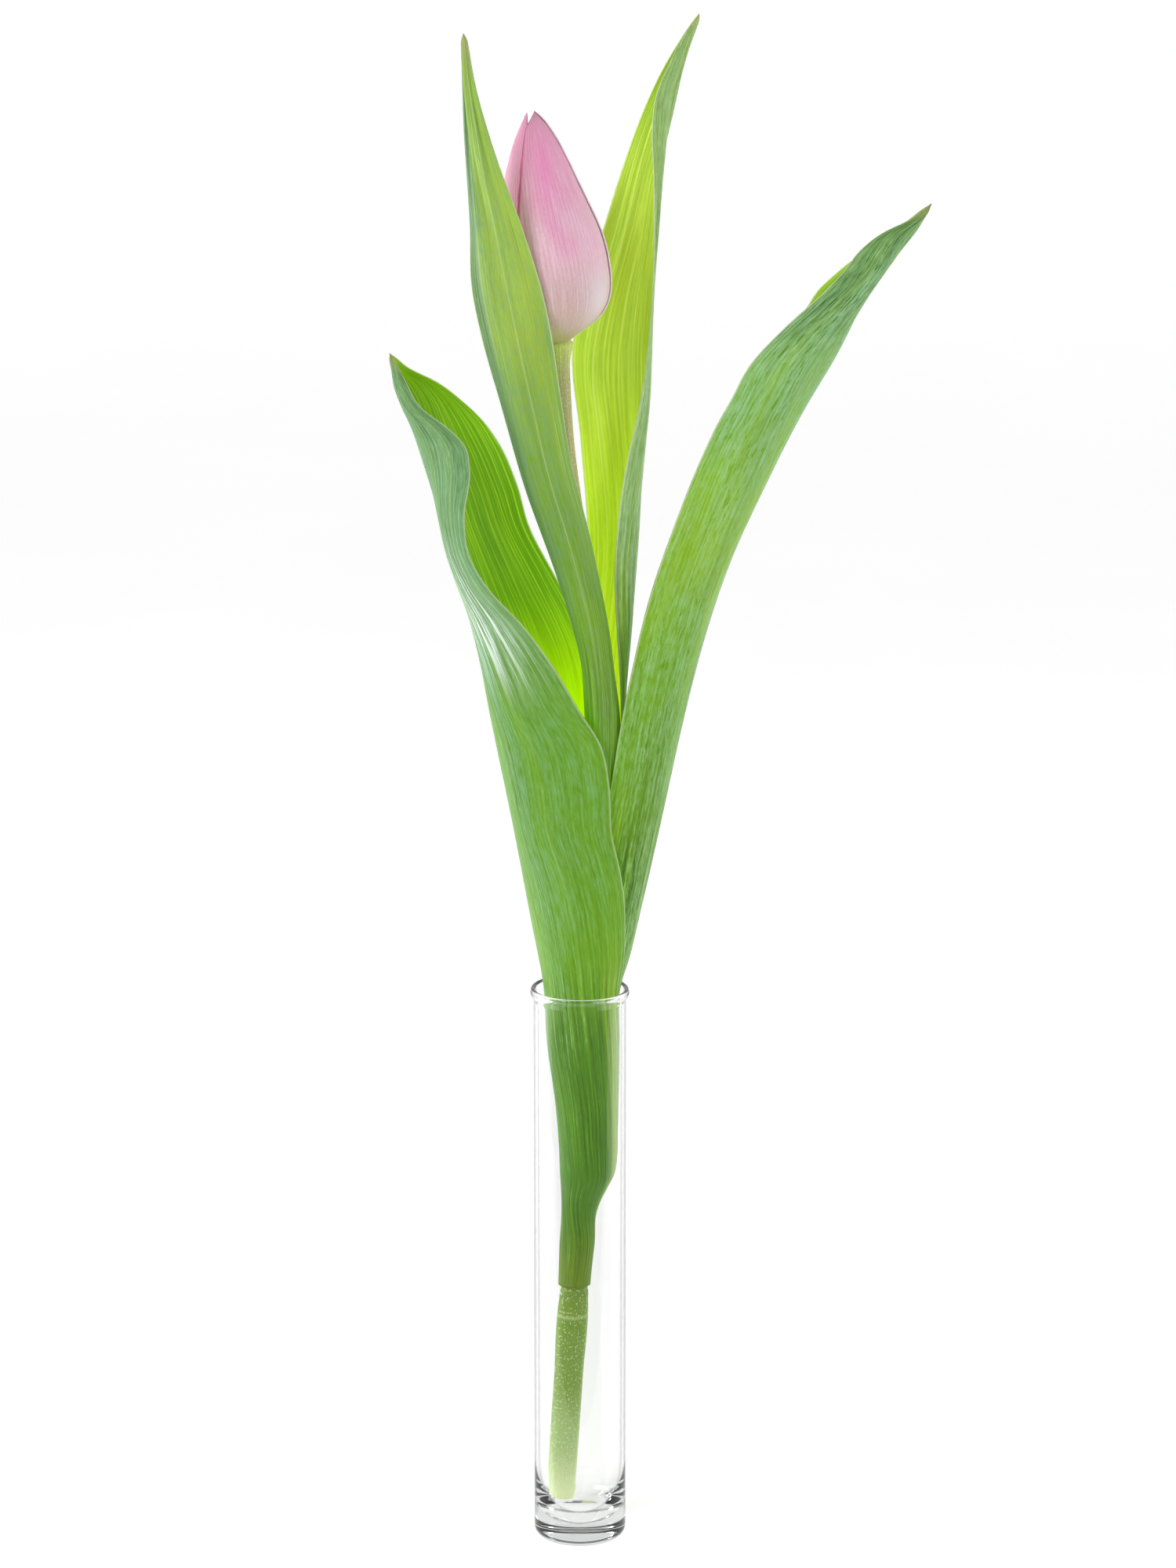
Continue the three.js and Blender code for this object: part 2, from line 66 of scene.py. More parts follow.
# Shape of each leaf, in millimetres. Three lines of height, x and y run up it: the margin nearer
# the viewer, the fold and the margin behind. Squeeze is a level section's depth against its width.
LEAVES = {
    "leaf_1": {
        "near": [
            [75, 2.2, 2.3], [88, 3.2, 1.9], [95, 4.0, 1.5], [100, 5.8, 0.4], [104, 7.7, -0.5],
            [108, 9.5, -0.8], [113, 10.3, -0.9], [121, 10.5, -1.1], [134, 10.7, -1.7],
            [147, 10.8, -2.4], [162, 10.8, -3.9], [172, 12.3, -7.2], [182, 12.6, -8.5],
            [191, 12.2, -9], [200, 10.7, -9], [207, 9.1, -9], [222, 8.2, -9], [233, 6, -9],
            [244, -0.5, -9.5], [256, -7.4, -10], [268, -16.1, -10.5], [277, -24.4, -10.5],
            [286, -29.8, -10], [297, -31.3, -10], [311, -29.8, -9.5], [317, -31.2, -9],
            [322, -36.3, -7.5], [326, -42.2, -5.5], [334, -47.4, -4], [341.3, -51.4, -2.7],
        ],
        "fold": [
            [75, -5.8, 0], [86, -5.4, 0], [95, -4.9, 0], [112, -5.3, 0.3], [128, -6.4, 0.5],
            [146, -8.8, 0.5], [163, -9.9, 0], [180, -12.9, 0], [228, -22.2, 0], [256, -27.3, 0],
            [285, -35.1, -0.5], [307, -41.2, -1], [320, -45.2, -1.5], [331, -49.3, -2],
            [341.3, -52, -2],
        ],
        "far": [
            [75, -0.2, 4.2], [95, 1.7, 4.0], [104, 3.6, 5.5], [113, 5.3, 7.0], [128, 5.9, 7.7],
            [146, 6.4, 8.7], [160, 6.6, 8.9], [176, 7, 11], [192, 7.5, 12], [230, 7.5, 11],
            [250, 5, 10.5], [266, -1, 10], [277, -6.7, 9.8], [291, -13.8, 9.3], [303, -17.2, 9],
            [315, -22.4, 8.5], [321, -26.6, 8], [326.5, -32, 6.5], [332, -38.6, 4],
            [337, -47, 0.5], [341.3, -51.4, -1.3],
        ],
        "squeeze": [
            [75, 1], [163, 1], [180, 0.9], [215, 0.58], [250, 0.52], [330, 0.6], [341.3, 1],
        ],
    },
    "leaf_2": {
        "near": [
            [118, -2.1, -3.2], [140, -0.9, -4.2], [163, 0.6, -5.3], [176, 1.8, -5.6],
            [195, 4, -6.8], [221, 8.6, -6.5], [238, 11.3, -6], [253, 14.2, -6], [275, 19.4, -6],
            [294, 25.8, -6], [313, 33.2, -6], [322, 37.3, -6], [329, 41.2, -5.5],
            [339, 46.7, -5.5], [348.5, 55.5, -5], [358, 65.8, -4.5], [364, 71.6, -4],
            [370, 76.4, -3.5], [374, 81.6, -3], [378, 89.7, -2.2], [382.2, 95.2, -1.7],
        ],
        "fold": [
            [118, 5.7, 0], [140, 8.1, 0.5], [158, 10.4, 1.6], [163, 11.3, 2], [170, 13.4, 2.8],
            [187, 17.2, 2.6], [213, 22.8, 2.5], [236, 27.6, 2.5], [262, 34.3, 2],
            [285, 42.3, 1.5], [305, 51.2, 1], [323, 59.6, 0.5], [343, 70.3, 0],
            [353, 75.6, -0.5], [368.5, 86.4, -1], [376, 91.8, -1], [382.2, 95.7, -1],
        ],
        "far": [
            [118, -2.1, 3.2], [140, -1.2, 5], [163, 0.3, 7.2], [176, 2.8, 9.4], [187, 6, 10],
            [213, 13, 9.5], [236, 18, 9], [262, 24.5, 8.5], [285, 31.5, 8], [305, 39, 7.5],
            [323, 47, 6.5], [343, 56.5, 5], [353, 62, 4], [358, 65.2, 3.5], [362, 69.3, 3],
            [368, 76.5, 2], [374, 85, 1], [382.2, 95.2, -0.3],
        ],
        "squeeze": [
            [118, 1], [163, 1], [190, 0.8], [250, 0.6], [340, 0.5], [374, 0.5], [382.2, 1],
        ],
    },
    "leaf_3": {
        "near": [
            [168, -0.4, 1.4], [190, 1.1, 1.4], [215, 1.8, 0.4], [243, 1.4, -1], [255, 0.6, -2],
            [267, -2.3, -2.8], [280, -6.3, -3.5], [304, -14.6, -6], [329, -21.5, -9.5],
            [347, -26.4, -12], [361, -29.1, -13], [378, -29.5, -14], [405, -30.9, -15],
            [429.5, -31.6, -14.8],
        ],
        "fold": [
            [168, 4.2, -4.6], [190, 5.6, -5], [215, 7, -5.4], [243, 6.6, -6.3], [262, 4.2, -7.5],
            [284, -1, -9], [309, -8, -12], [331, -13.3, -15], [352, -17.3, -17.8],
            [376, -22, -18.6], [396, -26, -17.9], [413, -29, -16.7], [429.5, -30.9, -15.2],
        ],
        "far": [
            [168, 8.0, 1.8], [180, 9.2, -0.2], [192, 9.5, -2.4], [205, 10.1, -3.1],
            [220, 10.9, -3.2], [238, 11.2, -3.3], [255, 9.2, -3.6], [262, 8.4, -3.8],
            [277, 5.7, -4.2], [293, 2.3, -5], [310, -1.9, -7.4], [333, -5.4, -12.4],
            [347, -7.3, -15.7], [360, -9.8, -17.6], [378, -15.4, -17.6], [398, -22.7, -16.5],
            [415, -27.6, -15.6], [429.5, -30.2, -14.8],
        ],
        "squeeze": [[168, 1], [429.5, 1]],
    },
    "leaf_4": {
        "near": [
            [196, 9.7, -1.4], [215, 10.5, -1.2], [237, 11.4, -0.9], [249, 11.1, -0.5],
            [264, 10.2, 0.5], [280, 9.6, 1.5], [291, 10.3, 3], [300, 11.3, 4.5],
            [310, 13.0, 6.5], [320, 15.3, 8.5], [328, 16.9, 9.8], [340, 18.6, 11],
            [370, 20.2, 12], [388, 20.1, 12.5], [401, 19.7, 12.8], [410, 20.9, 13],
            [418, 24.3, 13], [426, 28.2, 13.2], [431.8, 32.2, 13.2],
        ],
        "fold": [
            [196, 9.3, 2.2], [215, 10.7, 2.4], [244, 12.6, 3], [266, 14.2, 4], [290, 15.9, 6.2],
            [315, 17.4, 9.5], [340, 19.7, 12.2], [367, 21, 13.4], [389, 22.4, 14],
            [409, 25.8, 14.3], [422, 29.4, 14.3], [431.8, 32.8, 13.8],
        ],
        "far": [
            [196, 1.8, 2.2], [215, 2.2, 3], [244, 1.6, 4.6], [265, 2.2, 6.5], [289, 2.2, 9.5],
            [315, 0.2, 12.5], [340, -2.0, 15], [356, 1, 16.2], [370, 5.6, 16.6],
            [388, 11.2, 16.5], [403, 16.5, 16.2], [415, 21.8, 15.6], [425, 27.6, 14.8],
            [431.8, 32.2, 14.4],
        ],
        "squeeze": [
            [196, 1], [244, 0.9], [290, 0.6], [340, 0.35], [390, 0.35], [420, 0.6], [431.8, 1],
        ],
    },
}

# The bud in its own frame, in millimetres: height along its axis and radius
OUTER_OUTLINE = [
    [0.4, 3.3], [2.2, 6.3], [4.3, 9.7], [6.5, 12.3], [9, 14.2], [12, 15.4], [16, 16], [20, 16],
    [25, 15.6], [30, 14.6], [37, 12.3], [43.5, 10], [50, 7.7], [55.5, 5.5], [59.5, 3.4],
    [61.8, 2], [63.2, 1.4],
]
INNER_OUTLINE = [
    [2.3, 2.9], [3.9, 5.4], [6, 8.2], [8.2, 10.6], [11, 12.5], [14, 13.5], [18, 13.9],
    [23, 13.8], [28, 13], [34, 11.2], [40, 9.1], [46, 6.9], [51, 5], [55, 3.3], [57.4, 2.3],
]
# Where the bud stands in the tulip's frame, and how far it leans about Y, in radians
BUD_BASE = (-5.9, 0.0, 344.0)
BUD_LEAN = -0.11
# Half of what a petal spans round the axis, in degrees, at its claw, widest part and tip
PETAL_HALF_ANGLES = (50, 66, 30)
PETAL_TUCK = 0.3
# Across from the middle to a margin and along, in millimetres, for the petals' grain
PETAL_SIZE = (19, 64)
# Height, radius and share of the three lobes
PISTIL_OUTLINE = [
    [3.5, 1.0, 0], [5, 1.15, 0.02], [7.5, 2.2, 0.08], [12, 2.6, 0.1], [18, 2.5, 0.1],
    [21, 1.9, 0.12], [22.5, 2.3, 0.3], [24, 3.1, 0.42], [25, 2.6, 0.4],
]
# Height, distance from the axis and radius
STAMEN_PATH = [
    [3.5, 1.75, 0.34], [4.6, 2.0, 0.4], [6.6, 3.3, 0.6], [9.4, 4.4, 0.5], [10.4, 4.6, 1.0],
    [12, 4.7, 1.25], [19, 4.9, 1.2], [21.5, 4.9, 0.5],
]


# Settings a user would change


class TubeSettings(bpy.types.PropertyGroup):
    height: bpy.props.FloatProperty(
        name="Height", description="From the foot to the lip", default=0.162, unit="LENGTH")
    radius: bpy.props.FloatProperty(
        name="Radius", description="Outside, at the wall", default=0.013, unit="LENGTH")
    wall: bpy.props.FloatProperty(
        name="Wall", description="Thickness of the glass wall", default=0.0011, unit="LENGTH")
    floor: bpy.props.FloatProperty(
        name="Foot", description="Thickness of the glass under the bore", default=0.005,
        unit="LENGTH")
    bowl: bpy.props.FloatProperty(
        name="Bowl", description="Depth of the rounded end of the bore", default=0.0185,
        unit="LENGTH")
    flare: bpy.props.FloatProperty(
        name="Flare", description="How far the lip stands out", default=0.0007, unit="LENGTH")
    tint: bpy.props.FloatVectorProperty(
        name="Tint", description="Colour of thick glass", subtype="COLOR", size=3,
        default=(0.62, 0.635, 0.635))


class LeafSettings(bpy.types.PropertyGroup):
    thickness: bpy.props.FloatProperty(
        name="Thickness", description="At the midrib", default=0.00075, unit="LENGTH")
    ripple: bpy.props.FloatProperty(
        name="Ripple", description="Height of the long ripples in a blade", default=0.0003,
        unit="LENGTH")
    vein_gap: bpy.props.FloatProperty(
        name="Vein spacing", description="Between two main veins where a blade is widest",
        default=0.0022, unit="LENGTH")


class BudSettings(bpy.types.PropertyGroup):
    thickness: bpy.props.FloatProperty(
        name="Petal thickness", description="In the middle of a petal", default=0.0005,
        unit="LENGTH")
    pink: bpy.props.FloatVectorProperty(
        name="Pink", description="Colour of a petal's upper half", subtype="COLOR", size=3,
        default=(0.78, 0.40, 0.55))
    cream: bpy.props.FloatVectorProperty(
        name="Cream", description="Colour of a petal's base", subtype="COLOR", size=3,
        default=(0.55, 0.44, 0.33))


class StageSettings(bpy.types.PropertyGroup):
    floor: bpy.props.FloatVectorProperty(
        name="Floor", description="Colour of the floor", subtype="COLOR", size=3,
        default=(0.93, 0.93, 0.93))
    sky: bpy.props.FloatProperty(
        name="Surround", description="Strength of the white surround", default=1.0)
    key: bpy.props.FloatProperty(
        name="Key", description="Power of the large lamp at the upper left", default=14.0,
        unit="POWER")
    back: bpy.props.FloatProperty(
        name="Back", description="Power of the tall lamps behind", default=5.5, unit="POWER")


class TulipSettings(bpy.types.PropertyGroup):
    tube: bpy.props.PointerProperty(type=TubeSettings)
    leaf: bpy.props.PointerProperty(type=LeafSettings)
    bud: bpy.props.PointerProperty(type=BudSettings)
    stage: bpy.props.PointerProperty(type=StageSettings)


# Surfaces


def stacked(*parts):
    """Arrays that spread to one shape, laid together as vectors."""
    return np.stack(np.broadcast_arrays(*parts), -1)


def round_angles(sides):
    """Equal angles round a full turn, in radians."""
    return np.linspace(0, 2 * np.pi, sides, endpoint=False)


def smooth(value, low, high):
    """The S-shaped step from 0 at low to 1 at high."""
    t = np.clip((value - low) / (high - low), 0, 1)
    return t * t * (3 - 2 * t)


def hump(value, centre, width):
    """The bell curve exp(-t^2), where t is the way from the centre over the width."""
    return np.exp(-((value - centre) / width)**2)


def along(line, height):
    """Smooth values of a line at many heights: between two rows a cubic whose end slopes are those
    of the parabola through each row and its two neighbours."""
    rows = np.asarray(line, float)
    knots, values = rows[:, 0], rows[:, 1:]
    gap = np.diff(knots)[:, None]
    rise = np.diff(values, axis=0) / gap
    slope = np.empty_like(values)
    slope[1:-1] = (rise[:-1] * gap[1:] + rise[1:] * gap[:-1]) / (gap[1:] + gap[:-1])
    slope[0], slope[-1] = rise[0], rise[-1]
    at = np.clip(np.ravel(height), knots[0], knots[-1])
    i = np.clip(np.searchsorted(knots, at) - 1, 0, len(knots) - 2)
    t = ((at - knots[i]) / gap[i, 0])[:, None]
    hold = (2 * t**3 - 3 * t**2 + 1) * values[i] + (3 * t**2 - 2 * t**3) * values[i + 1]
    bend = (t**3 - 2 * t**2 + t) * slope[i] + (t**3 - t**2) * slope[i + 1]
    return hold + bend * gap[i]


def leaf_sheet(leaf, height, share):
    """Points of a leaf at each height and each share across. A level section is the arc of an
    ellipse through near margin, fold and far margin: the circle through the three once depth is
    divided by the squeeze, walked in equal angles, with its depth multiplied back."""
    squeeze = along(leaf["squeeze"], height)[:, 0]
    near, fold, far = (along(leaf[key], height) / stacked(1.0, squeeze)
                       for key in ("near", "fold", "far"))
    to_fold, to_far = fold - near, far - near
    twist = to_fold[:, 0] * to_far[:, 1] - to_fold[:, 1] * to_far[:, 0]
    fold2, far2 = (to_fold**2).sum(1), (to_far**2).sum(1)
    middle = near + stacked(
        to_far[:, 1] * fold2 - to_fold[:, 1] * far2,
        to_fold[:, 0] * far2 - to_far[:, 0] * fold2) / (2 * twist[:, None])
    out, back = near - middle, far - middle
    start = np.arctan2(out[:, 1], out[:, 0])
    way = np.sign(twist)
    turn = np.mod((np.arctan2(back[:, 1], back[:, 0]) - start) * way, 2 * np.pi) * way
    angle = start[:, None] + turn[:, None] * share[None, :]
    radius = np.hypot(out[:, 0], out[:, 1])[:, None]
    x = middle[:, :1] + radius * np.cos(angle)
    y = (middle[:, 1:] + radius * np.sin(angle)) * squeeze[:, None]
    return stacked(x, y, height[:, None])


def petal_sheet(outline, azimuth, share, across):
    """Points of a petal: it turns about the bud's axis by azimuth plus half-angle times across, at
    the outline's radius, and is raised along its slope by minus the tuck times across, so that
    one margin stands over the neighbour and the other lies under the next. The half-angle grows
    from the claw to the full width and shrinks to the tip."""
    low, high = outline[0][0], outline[-1][0]
    height = low + (high - low) * share**1.3 * (1 + 0.3 * share * (1 - share))
    radius = along(outline, height)[:, :1]
    feel = 0.05
    inside = np.clip(height, low + feel, high - feel)
    above, below = along(outline, inside + feel), along(outline, inside - feel)
    lean = np.arctan((above - below)[:, :1] / (2 * feel))
    claw, full, tip = PETAL_HALF_ANGLES
    half = claw + (full - claw) * smooth(share, 0, 0.2)[:, None]
    half = half + (tip - half) * smooth(share, 0.93, 1)[:, None]
    angle = np.radians(azimuth + half * across[None, :])
    raised = -PETAL_TUCK * across[None, :]
    reach = radius + raised * np.cos(lean)
    return stacked(reach * np.cos(angle), reach * np.sin(angle),
                   height[:, None] - raised * np.sin(lean))


def unit(vectors):
    return vectors / np.maximum(np.linalg.norm(vectors, axis=-1, keepdims=True), 1e-9)


def sheet_normals(points):
    """Cross product of a sheet's two grid directions, as unit vectors."""
    return unit(np.cross(np.gradient(points, axis=1), np.gradient(points, axis=0)))


def outward(points):
    """1 where a sheet's normals point away from the hollow between its margins, else -1."""
    hollow = points[:, [0, -1]].mean(1) - points[:, points.shape[1] // 2]
    normal = sheet_normals(points)[:, points.shape[1] // 2]
    return -np.sign(np.sum(hollow * normal))


def crowded(count, crowding):
    """Shares from 0 to 1, closer together at both ends: s minus crowding times sin(2 pi s) / 2 pi."""
    s = np.linspace(0, 1, count + 1)
    return s - crowding * np.sin(2 * np.pi * s) / (2 * np.pi)


def edge_distance(points, share):
    """How far each point of a sheet lies from its nearer margin, and the sheet's width there."""
    width = np.linalg.norm(np.diff(points, axis=1), axis=2).sum(1)[:, None]
    return np.minimum(share, 1 - share)[None, :] * width, width


def rounded(edge, radius):
    """Share of the thickness at a distance from the margin: a quarter circle of this radius."""
    return np.sqrt(np.clip(1 - (1 - np.clip(edge / radius, 0, 1))**2, 0, 1))


def closed_tip(points, run, start, least):
    """Draws a sheet's last rows in to their middles along a quarter circle, down to a least share.
    Returns the points and how open each row still is."""
    still = np.sqrt(np.clip(1 - smooth(run, start, 1.0)**2, 0, 1))
    middle = points.mean(axis=1, keepdims=True)
    return middle + (points - middle) * np.maximum(still, least)[..., None], still


def shell_rings(points, half, across, run):
    """Closed rings round a sheet: its outer face from first to last column, then its inner face
    back. The faces lie half a thickness off the sheet, and meet at both margins. With them come
    their marks: place across, place along, and 0 on the outer face or 1 on the inner one."""
    offset = sheet_normals(points) * half[..., None]
    front, back = points + offset, points - offset
    rings = np.concatenate([front, back[:, -2:0:-1]], axis=1)
    flat = np.concatenate([across, across[-2:0:-1]])
    inner = len(across) - 2
    face = np.concatenate([[0.5], np.zeros(inner), [0.5], np.ones(inner)])
    return rings, stacked(flat, run[:, None], face)


def ring_faces(rows, sides):
    """Quads between neighbouring rings, closed round each ring."""
    i, j = np.meshgrid(np.arange(rows - 1), np.arange(sides), indexing="ij")
    k = (j + 1) % sides
    low, high = i * sides, (i + 1) * sides
    return stacked(low + j, low + k, high + k, high + j).reshape(-1, 4)


def signed_volume(points, quads):
    """Volume within a mesh of quads, below 0 where its faces point inwards."""
    a, b, c, d = (points[quads[:, n]] for n in range(4))
    return (a * np.cross(c, d - b)).sum() / 6


def place_mesh(name, points, faces):
    """Links a new object with this mesh, in metres, to the scene."""
    mesh = bpy.data.meshes.new(name)
    mesh.from_pydata(points, [], faces)
    mesh.update()
    thing = bpy.data.objects.new(name, mesh)
    bpy.context.scene.collection.objects.link(thing)
    return thing


def build(name, rings, marks, node, finish):
    """Makes one closed piece from rings of points in millimetres, each end capped by a fan from
    the ring's middle. marks are vectors per ring point, kept as the attribute the finish reads."""
    rows, sides = rings.shape[:2]
    points = rings.reshape(-1, 3)
    j = np.arange(sides)
    k = (j + 1) % sides
    centre, top = rows * sides, (rows - 1) * sides
    faces = [ring_faces(rows, sides), stacked(centre, k, j), stacked(centre + 1, top + j, top + k)]
    if signed_volume(points - points.mean(0), faces[0]) < 0:
        faces = [group[:, ::-1] for group in faces]
    piece = place_mesh(name, np.concatenate([points, rings[[0, -1]].mean(1)]) * MM,
                       [face for group in faces for face in group.tolist()])
    mesh = piece.data
    mesh.polygons.foreach_set("use_smooth", np.ones(len(mesh.polygons), bool))
    if marks is not None:
        layer = mesh.attributes.new("place", "FLOAT_VECTOR", "POINT")
        values = np.concatenate([marks.reshape(-1, 3), marks[[0, -1]].mean(1)])
        layer.data.foreach_set("vector", values.ravel())
    mesh.materials.append(finish)
    mesh.update()
    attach(piece, BODY)
    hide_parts(node)
    return piece


# Finishes


class Wire:
    """A shader socket. Arithmetic on it adds Math nodes."""

    def __init__(self, paint, socket):
        self.paint, self.socket = paint, socket

    def math(self, kind, *others):
        return self.paint.wire("ShaderNodeMath", 0, {"operation": kind},
                               dict(enumerate((self, *others))))

    def __add__(self, other):
        return self.math("ADD", other)

    __radd__ = __add__

    def __mul__(self, other):
        return self.math("MULTIPLY", other)

    __rmul__ = __mul__

    def __sub__(self, other):
        return self.math("SUBTRACT", other)

    def __rsub__(self, other):
        return (self * -1).math("ADD", other)

    def __pow__(self, other):
        return self.math("POWER", other)

    def clamp(self, low=0.0, high=1.0):
        return self.math("MAXIMUM", low).math("MINIMUM", high)

    def step(self, low, high):
        """0 at low, 1 at high, with an S between."""
        return self.paint.wire(
            "ShaderNodeMapRange", "Result", {"interpolation_type": "SMOOTHSTEP"},
            {"Value": self, "From Min": low, "From Max": high})

    def near(self, centre, width):
        """1 at the centre, fading to 0 at a width away."""
        return 1 - (self - centre).math("ABSOLUTE").step(0, width)

    def lines(self, width):
        """1 in the middle of each whole step, fading to 0 at a width away."""
        return self.math("FRACT").near(0.5, width)


class Paint:
    """A material that is being wired."""

    def __init__(self, name):
        self.material = bpy.data.materials.new(name)
        self.material.use_nodes = True
        self.tree = self.material.node_tree
        self.tree.nodes.clear()
        self.output = self.node("ShaderNodeOutputMaterial")

    def node(self, kind, settings=None, inputs=None):
        node = self.tree.nodes.new(kind)
        for key, value in (settings or {}).items():
            setattr(node, key, value)
        for key, value in (inputs or {}).items():
            if isinstance(value, Wire):
                self.tree.links.new(value.socket, node.inputs[key])
            elif node.inputs[key].type == "RGBA":
                node.inputs[key].default_value = (*value, 1)
            else:
                node.inputs[key].default_value = value
        return node

    def wire(self, kind, output=0, settings=None, inputs=None):
        return Wire(self, self.node(kind, settings, inputs).outputs[output])

    def place(self):
        """The three numbers of the attribute that the surface carries."""
        vector = self.wire("ShaderNodeAttribute", "Vector",
                           {"attribute_type": "GEOMETRY", "attribute_name": "place"})
        split = self.node("ShaderNodeSeparateXYZ", inputs={0: vector})
        return [Wire(self, out) for out in split.outputs]

    def noise(self, vector, detail, rough, scale=1.0):
        return self.wire("ShaderNodeTexNoise", "Fac", {"noise_dimensions": "3D"},
                         {"Vector": vector, "Scale": scale, "Detail": detail, "Roughness": rough})

    def grains(self, x, y, z, rows):
        """One noise per row of steps across, steps along, a place of its own, detail and rough."""
        for wide, tall, own, detail, rough in rows.values():
            vector = self.wire("ShaderNodeCombineXYZ", inputs={0: x * wide, 1: y * tall, 2: z + own})
            yield self.noise(vector, detail, rough)

    def mix(self, share, first, second, blend="MIX"):
        """Colour from first at share 0 to second at share 1."""
        return self.wire("ShaderNodeMix", 2, {"data_type": "RGBA", "blend_type": blend},
                         {0: share, 6: first, 7: second})

    def tint(self, colour, factor):
        """Colour times a wired number or another colour."""
        return self.mix(1.0, colour, factor, "MULTIPLY")

    def coats(self, colour, *rows):
        """Lays one colour after another over the first, each by its share."""
        for share, coat in rows:
            colour = self.mix(share, colour, coat)
        return colour

    def stains(self, colour, *rows):
        """Multiplies the colour by one tint after another, each by its share."""
        for share, factor in rows:
            colour = self.mix(share, colour, self.tint(colour, factor))
        return colour

    def stops(self, value, stops):
        """Colour that passes smoothly through (position, colour) stops."""
        (last, colour), *rest = stops
        for position, following in rest:
            colour = self.mix(value.step(last, position), colour, following)
            last = position
        return colour

    def profile(self, value, stops):
        """Number that passes smoothly through (position, number) stops."""
        (last, height), *rest = stops
        total = height
        for position, following in rest:
            total = value.step(last, position) * (following - height) + total
            last, height = position, following
        return total

    def skin(self, colour, rough, bump, depth, constants):
        """Principled surface with a normal bumped by depth millimetres; constants are set on its
        own sockets."""
        normal = self.wire("ShaderNodeBump",
                           inputs={"Strength": 1.0, "Distance": depth * MM, "Height": bump})
        node = self.node("ShaderNodeBsdfPrincipled", inputs={
            "Base Color": colour, "Roughness": rough, "Normal": normal, **constants})
        self.tree.links.new(node.outputs[0], self.output.inputs["Surface"])
        return self.material


def tuple3(colour, factor=1.0):
    return tuple(float(value) * factor for value in colour)


